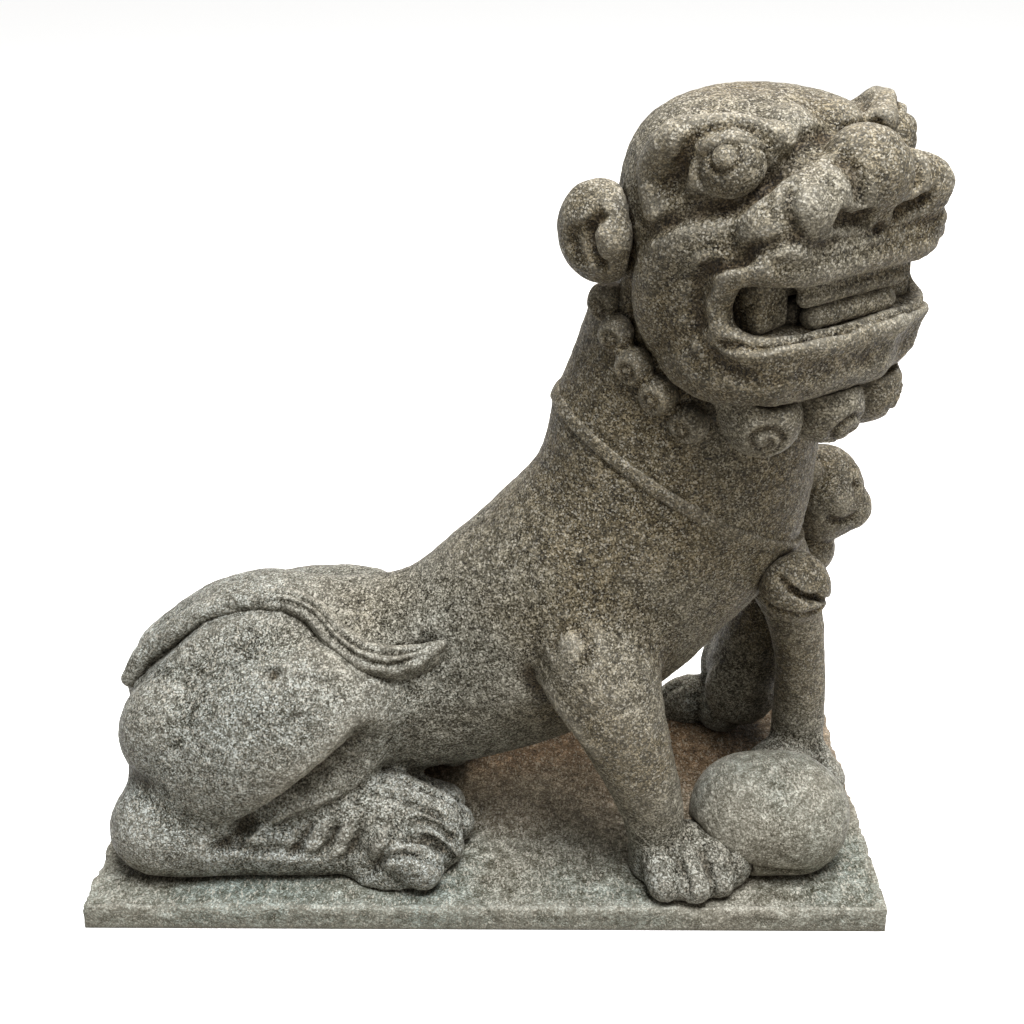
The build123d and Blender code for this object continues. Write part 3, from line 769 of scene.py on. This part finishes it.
class LION_OT_slab(bpy.types.Operator):
    """Rough slab with a chipped upper edge"""

    bl_idname = "lion.slab"
    bl_label = "Slab"

    def execute(self, context):
        low, high = (np.array(corner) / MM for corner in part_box("base_slab"))
        middle = (low + high) / 2
        bm = bmesh.new()
        size = Matrix.Diagonal((*((high - low) * MM), 1.0))
        bmesh.ops.create_cube(bm, size=1.0, matrix=Matrix.Translation(Vector(middle) * MM) @ size)
        slab = link_object("base_slab_stone", bm)
        recut(slab, 2.0)
        work = Carving(slab)
        places = [Vector(point) for point in work.points]
        inset = np.minimum(work.points[:, :2] - low[:2], high[:2] - work.points[:, :2]).min(1)
        above = work.points[:, 2] > low[2] + WHOLE_LAYER
        rise = np.clip((work.points[:, 2] - low[2]) / (high[2] - low[2]), 0, 1)
        edge = np.clip(1 - inset / CHIP_REACH, 0, 1) * rise
        chips = sum(share * np.array([noise.noise(p / wave) for p in places]) for wave, share in CHIP_WAVES)
        bite = np.clip(chips + CHIP_EASE, 0, CHIP_LIMIT) * edge * above
        outward = np.sign(work.points[:, :2] - middle[:2]) * (inset < EDGE_BAND)[:, None]
        work.points[:, :2] -= outward * (bite * EDGE_INSET)[:, None]
        work.points[:, 2] -= bite * context.scene.lion_sizes.mm("chip_depth")
        wear = np.array([noise.noise(Vector(p) / TOP_WAVE + Vector((3, 1, 2))) for p in work.points])
        work.points[:, 2] += np.where(above & (inset > TOP_INSET), wear * TOP_LUMPS - TOP_WEAR, 0)
        work.face_outward()
        complete(context, slab, work, "base_slab", kind=TRODDEN)
        return {"FINISHED"}


class LION_OT_body(bpy.types.Operator):
    """Trunk, haunches, legs and paws in one flowing skin, parted at the waist"""

    bl_idname = "lion.body"
    bl_label = "Body"

    def execute(self, context):
        sizes = context.scene.lion_sizes
        hind = [f"{side}_{part}" for side, _ in SIDES for part in ("haunch", "hind_leg", "hind_paw")]
        fore = [f"{side}_{part}" for side, _ in SIDES for part in ("foreleg", "forepaw")]
        body = self.clay(["trunk", "neck", *hind, *fore])
        work = Carving(body)
        self.rub(work)
        work.groove(TAIL_ROUTE, 14, 3.2, fade=0.05, shade_and_grime=0.5)
        for lines in (list, mirrored):
            self.hind_leg(work, lines, sizes)
        work.ledge(ELBOW_BACK, 14, 2.6, 2.6)
        work.bump(SHOULDER_CURL, 23, 3.2)
        spiral = curl(SHOULDER_CURL, SHOULDER_OUT, 13, 1.2, inner=0.4)
        work.groove(spiral, 5.0, 1.8, fade=0.25, shade_and_grime=0.2)
        work.bump(HAUNCH_PIT, 6.0, -4.0, shade_and_grime=1.0)
        self.toes(work, sizes)
        work.dress(HAND_DRESSED)
        work.finish()
        trim(body, COLLAR, collar_normal())
        rear = body.copy()
        rear.data = body.data.copy()
        rear.name = "lion_hindquarters"
        context.scene.collection.objects.link(rear)
        trim(rear, (WAIST_X, 0, 0), Vector((1, 0, 0)))
        trim(body, (WAIST_X, 0, 0), Vector((-1, 0, 0)))
        carved_piece(body, stone_of(context, CARVED), "trunk", *fore)
        carved_piece(rear, stone_of(context, CARVED), *hind)
        return {"FINISHED"}

    def clay(self, nodes):
        """One skin over the solids, with clay on the insteps, behind the haunches and beside the ball."""
        bm = bmesh.new()
        centre, radii = HAUNCH_EGG
        for _, side in SIDES:
            add_chain(bm, INSTEP, lambda place: on_side(place, side))
            add_egg(bm, on_side(centre, side), radii)
        for egg in BALL_WEB:
            add_egg(bm, *egg)
        copy_nodes(bm, nodes)
        body = link_object("lion_forequarters", bm)
        recut(body, 1.8)
        self.refine(body, FINE_BOXES)
        return body

    def rub(self, work):
        """Smooth the joints between the masses, and hollow the back."""
        work.soften(18, 1 - 0.8 * work.around(PAW_MIDDLES, 38))
        for _, side in SIDES:
            for passes, radius, places in SIDE_RUBS:
                work.rub(passes, radius, [on_side(place, side) for place in places])
        work.rub(*WEB_RUB)
        for hollow in BACK_HOLLOWS:
            work.bump(*hollow)
        work.rub(*BACK_RUB)

    def hind_leg(self, work, lines, sizes):
        """Thigh that stands over the flank, the hock, and fur locks and toes on the long foot."""
        above = np.interp(work.points[:, 0], *np.array(INSTEP_LINE).T)
        clear = np.clip((work.points[:, 2] - above) / INSTEP_BLEND, 0, 1)
        # The flank sunk under the thigh also takes painted shadow
        work.ledge(lines(THIGH_FRONT), 32, 0.5, sizes.mm("thigh_step"), fade=0.3, where=clear, soft=5.0)
        work.soften(60, work.around(lines(THIGH_BAND), 17) * clear)
        work.groove(lines(HOCK_CREASE), 7, 2.0, fade=0.4)
        work.groove(lines(SHANK_TOP), 5, 2.4, fade=0.25)
        for lock in FUR_LOCKS:
            work.groove(lines(lock), 4.0, sizes.mm("lock_depth"), fade=0.35, shade_and_grime=0.2)
        for first, second in zip(FUR_LOCKS, FUR_LOCKS[1:]):
            leaf = [tuple((a + b) / 2 for a, b in zip(*ends)) for ends in zip(first, second)]
            work.groove(lines(leaf), 6.5, -0.9, fade=0.35, shade_and_grime=0.2)
        for toe in OUTER_TOES:
            work.groove(lines(toe), 3.6, sizes.mm("toe_depth"), fade=0.25, shade_and_grime=0.3)

    def refine(self, obj, boxes):
        """Halve the faces where the toes need it."""
        bm = bmesh.new()
        bm.from_mesh(obj.data)
        chosen = set()
        for low, high in boxes:
            for edge in bm.edges:
                middle = (edge.verts[0].co + edge.verts[1].co) / (2 * MM)
                if all(low[k] < middle[k] < high[k] for k in range(3)):
                    chosen.add(edge)
        bmesh.ops.subdivide_edges(bm, edges=list(chosen), cuts=1, use_grid_fill=True, smooth=0.0)
        bmesh.ops.triangulate(bm, faces=[f for f in bm.faces if len(f.verts) > 4])
        bm.to_mesh(obj.data)
        bm.free()

    def toes(self, work, sizes):
        """Gaps between the toes."""
        for _, side in SIDES:
            for across in HIND_TOE_GAPS:
                line = [(x, side * across, z) for x, z in HIND_GAP_RUN]
                work.groove(line, 4.0, sizes.mm("toe_depth"), fade=0.2, shade_and_grime=0.3)
        for x, y, turn in FOREPAWS:
            ahead = Vector((math.cos(math.radians(turn)), math.sin(math.radians(turn))))
            left = Vector((-ahead.y, ahead.x))
            for across in FORE_TOE_GAPS:
                spots = [Vector((x, y)) + ahead * reach + left * across for reach, _ in FORE_GAP_RUN]
                line = [(spot.x, spot.y, height) for spot, (_, height) in zip(spots, FORE_GAP_RUN)]
                work.groove(line, 3.4, 2.2, fade=0.25, shade_and_grime=0.3)


class LION_OT_tail(bpy.types.Operator):
    """Tail laid over the haunch, with combed strands"""

    bl_idname = "lion.tail"
    bl_label = "Tail"

    def execute(self, context):
        bm = bmesh.new()
        bars = list(zip(TAIL_ROUTE, TAIL_RADII))
        add_chain(bm, bars, Vector)
        core = [(place, CORE_SHARE * radius) for place, radius in bars]
        add_chain(bm, core, lambda place: Vector(place) + TAIL_CORE)
        tail, work = begin(bm, "lion_tail", 1.1, 10)
        for shift in STRANDS:
            strand = [Vector(place) + shift for place in TAIL_ROUTE[4:]]
            work.groove(strand, 2.8, context.scene.lion_sizes.mm("strand_depth"), fade=0.2)
        work.roughen(6, 0.3, 3)
        complete(context, tail, work, "tail")
        return {"FINISHED"}


class LION_OT_ball(bpy.types.Operator):
    """Ball under the right forepaw"""

    bl_idname = "lion.ball"
    bl_label = "Ball"

    def execute(self, context):
        ball, work = small_piece("ball", 1.8, 8)
        work.groove(BALL_RIM, 3.4, 1.6, fade=0.2)
        work.roughen(22, 0.7, 5)
        complete(context, ball, work, "ball", kind=TRODDEN)
        return {"FINISHED"}


class LION_OT_head(bpy.types.Operator):
    """Head and neck with the carved face"""

    bl_idname = "lion.head"
    bl_label = "Head"

    def execute(self, context):
        head = self.clay()
        work = Carving(head)
        work.soften(7)
        work.rub(90, 46, [*face_route(*SKULL_BACK), *NECK_BACK])
        work.rub(200, 30, NAPE_RIM)
        work.rub(24, 30, face_route(*JAW_CORNERS))
        for spot, cut in JAW_CUTS:
            work.bump(face_point(*spot), 26, cut)
        work.rub(10, 20, face_route(*LIP_ENDS))
        work.rub(16, 20, face_route(*NOSE_BACK))
        self.brows_and_eyes(work)
        self.muzzle_and_mouth(work, context.scene.lion_sizes)
        work.dress(HAND_DRESSED)
        work.finish()
        trim(head, COLLAR, -collar_normal())
        carved_piece(head, stone_of(context, CARVED), "neck", "right_brow", "left_brow", *FACE_NODES)
        return {"FINISHED"}

    def clay(self):
        """One skin over head and neck, with clay on the brows, nose, lip corners, jaw, neck and crown."""
        bm = bmesh.new()
        spot, radii = JAW_EGG
        for _, side in SIDES:
            for chain in (BROW_CLAY, NOSE_CLAY, LIP_CORNER_CLAY):
                add_chain(bm, chain, lambda place: face_point(*on_side(place, side)))
            add_egg(bm, face_point(*on_side(spot, side)), radii, -HEAD_TURN)
        add_egg(bm, *NECK_EGG)
        spot, radii = CROWN_EGG
        add_egg(bm, face_point(*spot), radii, -HEAD_TURN)
        copy_nodes(bm, ["neck", "trunk", *FACE_NODES])
        head = link_object("lion_head", bm)
        trim(head, NECK_ROOT, -collar_normal())
        recut(head, 1.3)
        return head

    def cut(self, work, line, width, depth, fade=0.2, shade_and_grime=0.6):
        """The same groove, or roll, with its painted shade and soiling, on both halves of the face."""
        for half in both_halves(line):
            work.groove(half, width, depth, fade, shade_and_grime)

    def brows_and_eyes(self, work):
        """Heavy brows that wrap the eyes, lids, and the hollows under them."""
        self.cut(work, CHEEK_ROLL, 15, -2.6, fade=0.25, shade_and_grime=0.0)
        self.cut(work, TEMPLE_ROLL, 10, -2.4, fade=0.25, shade_and_grime=0.0)
        for (middle,) in both_halves([FOREHEAD_LUMP]):
            work.bump(middle, 16, 5.0)
        self.cut(work, CHEEK_BACK, 8, 2.4, fade=0.3)
        self.cut(work, BROW_GAP, 5, 3.0, fade=0.15)
        self.cut(work, EYE_CREASE, 6.5, 3.6, fade=0.15)
        for pit in EYE_PITS:
            for middle in both_halves([pit]):
                work.bump(middle[0], 9, -2.0, shade_and_grime=0.5)
                work.rub(10, 15, middle)
        self.cut(work, LOWER_LID, 3.6, -1.8, shade_and_grime=0.0)
        self.cut(work, FOREHEAD_CREASE, 6, 2.4)

    def muzzle_and_mouth(self, work, sizes):
        """Nose, lips that meet round the corners of the mouth, and the chin."""
        self.cut(work, NOSE_SIDE, 5.5, 2.6)
        self.cut(work, NOSE_GAP, 6, 3.6)
        for (middle,) in both_halves([NOSE_WING]):
            work.bump(middle, 16, 1.4)
        self.cut(work, NOSTRIL, 6, sizes.mm("nostril_depth"), shade_and_grime=0.8)
        self.cut(work, CORNER_CREASE, 6, 2.4)
        self.cut(work, LIP_CREASE, 5, 2.2, fade=0.0)
        self.cut(work, GUM_LINE, 3.6, 2.8, fade=0.1)
        self.cut(work, CHIN_CREASE, 7, 0.8, fade=0.0)


class LION_OT_eyes(bpy.types.Operator):
    """Eyeballs with a raised pupil"""

    bl_idname = "lion.eyes"
    bl_label = "Eyes"

    def execute(self, context):
        for name, side in SIDES:
            piece, work = small_piece(f"{name}_eye", 0.8, 6)
            work.push(np.full(len(work.points), EYE_SWELL))
            work.face_outward()
            gaze = face_direction(*on_side(EYE_GAZE, side))
            middle = Vector(face_point(*on_side(EYE_MIDDLE, side))) + gaze.normalized() * EYE_REACH
            work.bump(middle, 6.5, context.scene.lion_sizes.mm("pupil_height"))
            work.groove(curl(middle, gaze, 7.6, 1.0, inner=1.0), 2.2, 1.3, fade=0.0, shade_and_grime=0.3)
            complete(context, piece, work, f"{name}_eye")
        return {"FINISHED"}


class LION_OT_ears(bpy.types.Operator):
    """Folded ears"""

    bl_idname = "lion.ears"
    bl_label = "Ears"

    def execute(self, context):
        spot, radii = EAR_EGG
        for (name, side), fold in zip(SIDES, both_halves(EAR_FOLD)):
            filling = (face_point(*on_side(spot, side)), radii, -HEAD_TURN)
            piece, work = small_piece(f"{name}_ear", 1.1, 10, filling)
            work.bump(face_point(*on_side(EAR_LOBE, side)), 13, 3.5)
            work.groove(fold, 5, 4.0, fade=0.15)
            work.roughen(9, 0.5, 9)
            complete(context, piece, work, f"{name}_ear")
        return {"FINISHED"}


class LION_OT_mouth(bpy.types.Operator):
    """Teeth and tongue"""

    bl_idname = "lion.mouth"
    bl_label = "Mouth"

    def execute(self, context):
        for name, _ in SIDES:
            self.roughened(context, f"{name}_tooth", *small_piece(f"{name}_tooth", 1.0, 34))
        for node, rolls in (("front_teeth", TEETH_ROLLS), ("tongue", TONGUE_ROLLS)):
            bm = bmesh.new()
            for (forward, half, up), radius in rolls:
                add_bar(bm, face_point(forward, -half, up), face_point(forward, half, up), radius, radius)
            self.roughened(context, node, *begin(bm, f"{node}_stone", 0.9, 5))
        return {"FINISHED"}

    def roughened(self, context, node, piece, work):
        """Rough stone for a tooth or the tongue."""
        work.roughen(6, 0.4, 8)
        complete(context, piece, work, node)


class LION_OT_mane(bpy.types.Operator):
    """Beard lobes and jaw curls, each with a spiral"""

    bl_idname = "lion.mane"
    bl_label = "Mane"

    def execute(self, context):
        depth = context.scene.lion_sizes.mm("curl_depth")
        for name, side in BEARDS:
            piece, work = small_piece(f"{name}_beard", 1.0, 12)
            outward = face_direction(*on_side(BEARD_OUT, side))
            middle = Vector(face_point(*on_side(BEARD_MIDDLE, side))) + outward.normalized() * BEARD_REACH
            work.groove(curl(middle, outward, 11, 1.6), 2.8, depth, fade=0.08)
            work.roughen(7, 0.5, 10)
            complete(context, piece, work, f"{name}_beard")
        for name, side in SIDES:
            piece, work = small_piece(f"{name}_jaw_curls", 1.0, 8)
            outward = face_direction(*on_side(CURL_OUT, side))
            for index in range(CURL_COUNT):
                share = index / (CURL_COUNT - 1)
                forward, left, up = Vector(CURL_FIRST) + share * Vector(CURL_RUN)
                left += CURL_BOW * math.sin(math.pi * share)
                middle = Vector(face_point(forward, side * left, up)) + outward * CURL_REACH
                work.groove(curl(middle, outward, 5.5, 1.3), 2.4, 1.8, fade=0.08)
            work.roughen(6, 0.5, 11)
            complete(context, piece, work, f"{name}_jaw_curls")
        return {"FINISHED"}


class LION_OT_collar(bpy.types.Operator):
    """Low strap round the neck, and the bell"""

    bl_idname = "lion.collar"
    bl_label = "Collar and bell"

    def execute(self, context):
        bm = bmesh.new()
        tilt = Matrix.Rotation(math.radians(90 - COLLAR_PITCH), 4, "Y")
        size = Matrix.Diagonal((*(Vector(COLLAR_CORE) * MM), 1.0))
        core = Matrix.Translation(Vector(COLLAR) * MM) @ tilt @ size
        bmesh.ops.create_cone(
            bm, cap_ends=True, segments=64, radius1=1.0, radius2=1.0, depth=1.0, matrix=core)
        copy_nodes(bm, ["collar"])
        strap, work = begin(bm, "collar_stone", 1.1, 22)
        work.push(np.full(len(work.points), -0.4))
        work.face_outward()
        complete(context, strap, work, "collar")
        bell, work = small_piece("bell", 1.0, 4)
        for fold in BELL_FOLDS:
            work.groove(fold, 2.8, 1.8, fade=0.15)
        work.roughen(7, 0.5, 12)
        complete(context, bell, work, "bell")
        return {"FINISHED"}


class LION_OT_cub(bpy.types.Operator):
    """Cub on the far side"""

    bl_idname = "lion.cub"
    bl_label = "Cub"

    def execute(self, context):
        nodes = ("cub_body", "cub_head", "cub_right_hind_leg", "cub_left_hind_leg", "cub_foreleg")
        bm = bmesh.new()
        for centre, radii in CUB_CLAY:
            add_egg(bm, centre, radii)
        add_bar(bm, *CUB_TAIL, 6, 4)
        copy_nodes(bm, nodes)
        cub, work = begin(bm, "cub_stone", 1.3, 14)
        work.bump(CUB_CHEEK, 11, 1.6)
        work.groove(CUB_MOUTH, 4, 2.6, fade=0.15)
        work.bump(CUB_EYE, 5.0, -2.2, shade_and_grime=0.8)
        for toe in CUB_TOES:
            work.groove(toe, 3.6, 2.2, fade=0.2)
        work.dress(CUB_DRESSED)
        complete(context, cub, work, *nodes)
        return {"FINISHED"}


# Soft lamps: name, place in metres, watts, width in metres, colour; and the place that they aim at
LAMPS = [
    ("key", (0.3, -0.5, 1.9), 78.0, 0.9, "#f8f9ff"),
    ("fill", (0.9, -1.4, 0.7), 7.0, 1.2, "#fff8f0"),
    ("back", (0.2, 1.3, 1.6), 22.0, 1.0, "#fff0de"),
]
LAMP_AIM = (0.03, 0.0, 0.17)
# Camera: place in metres, pitch, yaw and roll in degrees, focal length in millimetres
CAMERA_PLACE = (0.0358, -0.6406, 0.4851)
CAMERA_ANGLES = (25.06, 1.8, -0.99)
CAMERA_LENS = 49.22


class LION_OT_stage(bpy.types.Operator):
    """Pale floor, soft light and the camera"""

    bl_idname = "lion.stage"
    bl_label = "Stage"

    def execute(self, context):
        scene = context.scene
        bm = bmesh.new()
        bmesh.ops.create_grid(bm, x_segments=1, y_segments=1, size=6.0)
        floor = link_object("floor", bm)
        # Matt paper: an even pale ground that keeps the soft shadow, and is duller to what it lights
        paper = bpy.data.materials.new("pale_paper")
        paper.use_nodes = True
        tree = paper.node_tree
        tree.nodes.clear()
        matt = add_node(tree, "ShaderNodeBsdfPrincipled", inputs={
            "Base Color": linear("#f4f4f2"), "Roughness": 0.9})
        glow = add_node(tree, "ShaderNodeEmission", inputs={"Color": (1, 1, 1, 1), "Strength": 0.68})
        both = add_node(tree, "ShaderNodeAddShader", inputs={0: matt.outputs[0], 1: glow.outputs[0]})
        dull = add_node(tree, "ShaderNodeBsdfDiffuse", inputs={"Color": linear("#8a857c")})
        seen = add_node(tree, "ShaderNodeMixShader", inputs={
            "Fac": self.looked_at(tree), 1: dull.outputs[0], 2: both.outputs[0]})
        add_node(tree, "ShaderNodeOutputMaterial", inputs={"Surface": seen.outputs[0]})
        floor.data.materials.append(paper)
        world = bpy.data.worlds.new("soft_room")
        scene.world = world
        world.use_nodes = True
        sky = world.node_tree
        sky.nodes.clear()
        room = add_node(sky, "ShaderNodeBackground", inputs={"Color": linear("#e8e7e4"), "Strength": 0.28})
        white = add_node(sky, "ShaderNodeBackground", inputs={"Color": (1, 1, 1, 1), "Strength": 1.0})
        mix = add_node(sky, "ShaderNodeMixShader", inputs={
            "Fac": self.looked_at(sky), 1: room.outputs[0], 2: white.outputs[0]})
        add_node(sky, "ShaderNodeOutputWorld", inputs={"Surface": mix.outputs[0]})
        for lamp in LAMPS:
            self.lamp(scene, *lamp)
        self.camera(scene)
        scene.view_settings.view_transform = "Standard"
        return {"FINISHED"}

    def looked_at(self, tree):
        """One where a ray comes from the camera, or from a reflection of what it sees."""
        ray = add_node(tree, "ShaderNodeLightPath")
        glossy = reckon(tree, "MAXIMUM", ray.outputs["Is Camera Ray"], ray.outputs["Is Glossy Ray"])
        return reckon(tree, "MAXIMUM", glossy, ray.outputs["Is Transmission Ray"])

    def lamp(self, scene, name, place, power, size, colour):
        """Square soft lamp aimed at the statue."""
        light = bpy.data.lights.new(name, "AREA")
        light.energy = power
        light.size = size
        light.color = linear(colour)[:3]
        lamp = bpy.data.objects.new(name, light)
        lamp.location = place
        lamp.rotation_euler = (Vector(LAMP_AIM) - Vector(place)).to_track_quat("-Z", "Y").to_euler()
        scene.collection.objects.link(lamp)

    def camera(self, scene):
        """Camera at the photograph's height and angle."""
        pitch, yaw, roll = (math.radians(angle) for angle in CAMERA_ANGLES)
        across = math.cos(pitch)
        ahead = Vector((-math.sin(yaw) * across, math.cos(yaw) * across, -math.sin(pitch)))
        level = Vector((math.cos(yaw), math.sin(yaw), 0.0))
        plumb = level.cross(ahead)
        right = level * math.cos(roll) + plumb * math.sin(roll)
        upward = -level * math.sin(roll) + plumb * math.cos(roll)
        lens = bpy.data.cameras.new("view")
        lens.sensor_width = 36.0
        lens.lens = CAMERA_LENS
        lens.clip_start = 0.01
        eye = bpy.data.objects.new("view", lens)
        turn = Matrix((right, upward, -ahead)).transposed()
        eye.matrix_world = Matrix.Translation(CAMERA_PLACE) @ turn.to_4x4()
        scene.collection.objects.link(eye)
        scene.camera = eye


def length(name, description, size):
    """Length that a user may change, written in millimetres."""
    return bpy.props.FloatProperty(
        name=name, description=description, default=size * MM, min=0.0, precision=4, unit="LENGTH")


def tone(name, description, hex_colour):
    """Colour that a user may change, written as an sRGB hex value."""
    return bpy.props.FloatVectorProperty(
        name=name, description=description, default=linear(hex_colour), size=4, min=0.0, max=1.0,
        subtype="COLOR")


class LionSizes(bpy.types.PropertyGroup):
    """Sizes of the carving and of the stone's grain."""

    chip_depth: length("Chips", "Depth of the chips on the slab's edge", 2.2)
    thigh_step: length("Thigh step", "How far the flank sinks ahead of the thigh", 23.0)
    lock_depth: length("Fur locks", "Depth of the lines between the fur locks", 3.4)
    toe_depth: length("Toes", "Depth of the gaps between the hind toes", 3.0)
    strand_depth: length("Tail strands", "Depth of the lines along the tail", 2.4)
    nostril_depth: length("Nostrils", "Depth of the nostrils", 6.0)
    pupil_height: length("Pupils", "How far the pupils stand out", 1.5)
    curl_depth: length("Beard curls", "Depth of the spirals in the beard", 2.0)
    grain: length("Grain", "Width of one grain", 0.7)
    wander: length("Wander", "Spacing of the bends in a grain's outline", 1.2)
    drift: length("Drift", "How far the grains are pulled out of round", 0.6)
    patch: length("Patch", "Width of the darker and paler patches", 6.0)
    stain: length("Stain", "Width of the cool and warm stains", 90.0)
    peck: length("Peck", "Spacing of the peck marks", 2.6)
    peck_depth: length("Peck depth", "Depth of the peck marks", 1.8)
    # How near stone has to be to darken a place with painted shade and soiling
    occlusion_shade: length("Shelter", "How near stone has to be to hold dirt", 40.0)

    def mm(self, name):
        """A size in millimetres."""
        return getattr(self, name) / MM


class LionColours(bpy.types.PropertyGroup):
    """Colours of the granite."""

    dark_grain: tone("Dark grain", "Mica and hornblende", "#1d190f")
    olive_grain: tone("Olive grain", "Weathered feldspar", "#4a4435")
    grey_grain: tone("Grey grain", "Grey quartz", "#747063")
    beige_grain: tone("Beige grain", "Beige feldspar", "#a39e90")
    pale_grain: tone("Pale grain", "Pale quartz", "#d3cebf")
    fleck: tone("Fleck", "Long pale flecks", "#bdb8a8")
    # Colour of the painted shade and soiling in hollows, on undersides and near other stone
    shade_and_grime: tone("Grime", "Brown dirt in hollows", "#84745e")
    worn_edge: tone("Worn edge", "Rubbed high parts", "#8f8b7e")
    carved_cool: tone("Cool cast", "Haunches and feet", "#d9e6f1")
    carved_warm: tone("Warm cast", "Breast, neck and head", "#a79e8a")
    trodden_cool: tone("Cool slab", "Front of the slab, ball", "#daf0f8")
    trodden_warm: tone("Warm slab", "Slab behind the legs", "#e8ccb4")


class LION_PT_panel(bpy.types.Panel):
    """Buttons for each piece of the lion"""

    bl_idname = "LION_PT_panel"
    bl_label = "Granite lion"
    bl_space_type = "VIEW_3D"
    bl_region_type = "UI"
    bl_category = "Lion"

    def draw(self, context):
        for operator in OPERATORS:
            self.layout.operator(operator.bl_idname)
        for group in (context.scene.lion_sizes, context.scene.lion_colours):
            for name in type(group).__annotations__:
                self.layout.prop(group, name)


OPERATORS = (
    LION_OT_slab, LION_OT_body, LION_OT_tail, LION_OT_ball, LION_OT_head, LION_OT_eyes, LION_OT_ears,
    LION_OT_mouth, LION_OT_mane, LION_OT_collar, LION_OT_cub, LION_OT_stage,
)
CLASSES = (LionSizes, LionColours, *OPERATORS, LION_PT_panel)


def register():
    for cls in CLASSES:
        bpy.utils.register_class(cls)
    bpy.types.Scene.lion_sizes = bpy.props.PointerProperty(type=LionSizes)
    bpy.types.Scene.lion_colours = bpy.props.PointerProperty(type=LionColours)


def unregister():
    del bpy.types.Scene.lion_colours
    del bpy.types.Scene.lion_sizes
    for cls in reversed(CLASSES):
        bpy.utils.unregister_class(cls)


def main():
    register()
    bpy.ops.lion.slab()
    bpy.ops.lion.body()
    bpy.ops.lion.tail()
    bpy.ops.lion.ball()
    bpy.ops.lion.head()
    bpy.ops.lion.eyes()
    bpy.ops.lion.ears()
    bpy.ops.lion.mouth()
    bpy.ops.lion.mane()
    bpy.ops.lion.collar()
    bpy.ops.lion.cub()
    bpy.ops.lion.stage()


if __name__ == "__main__":
    main()
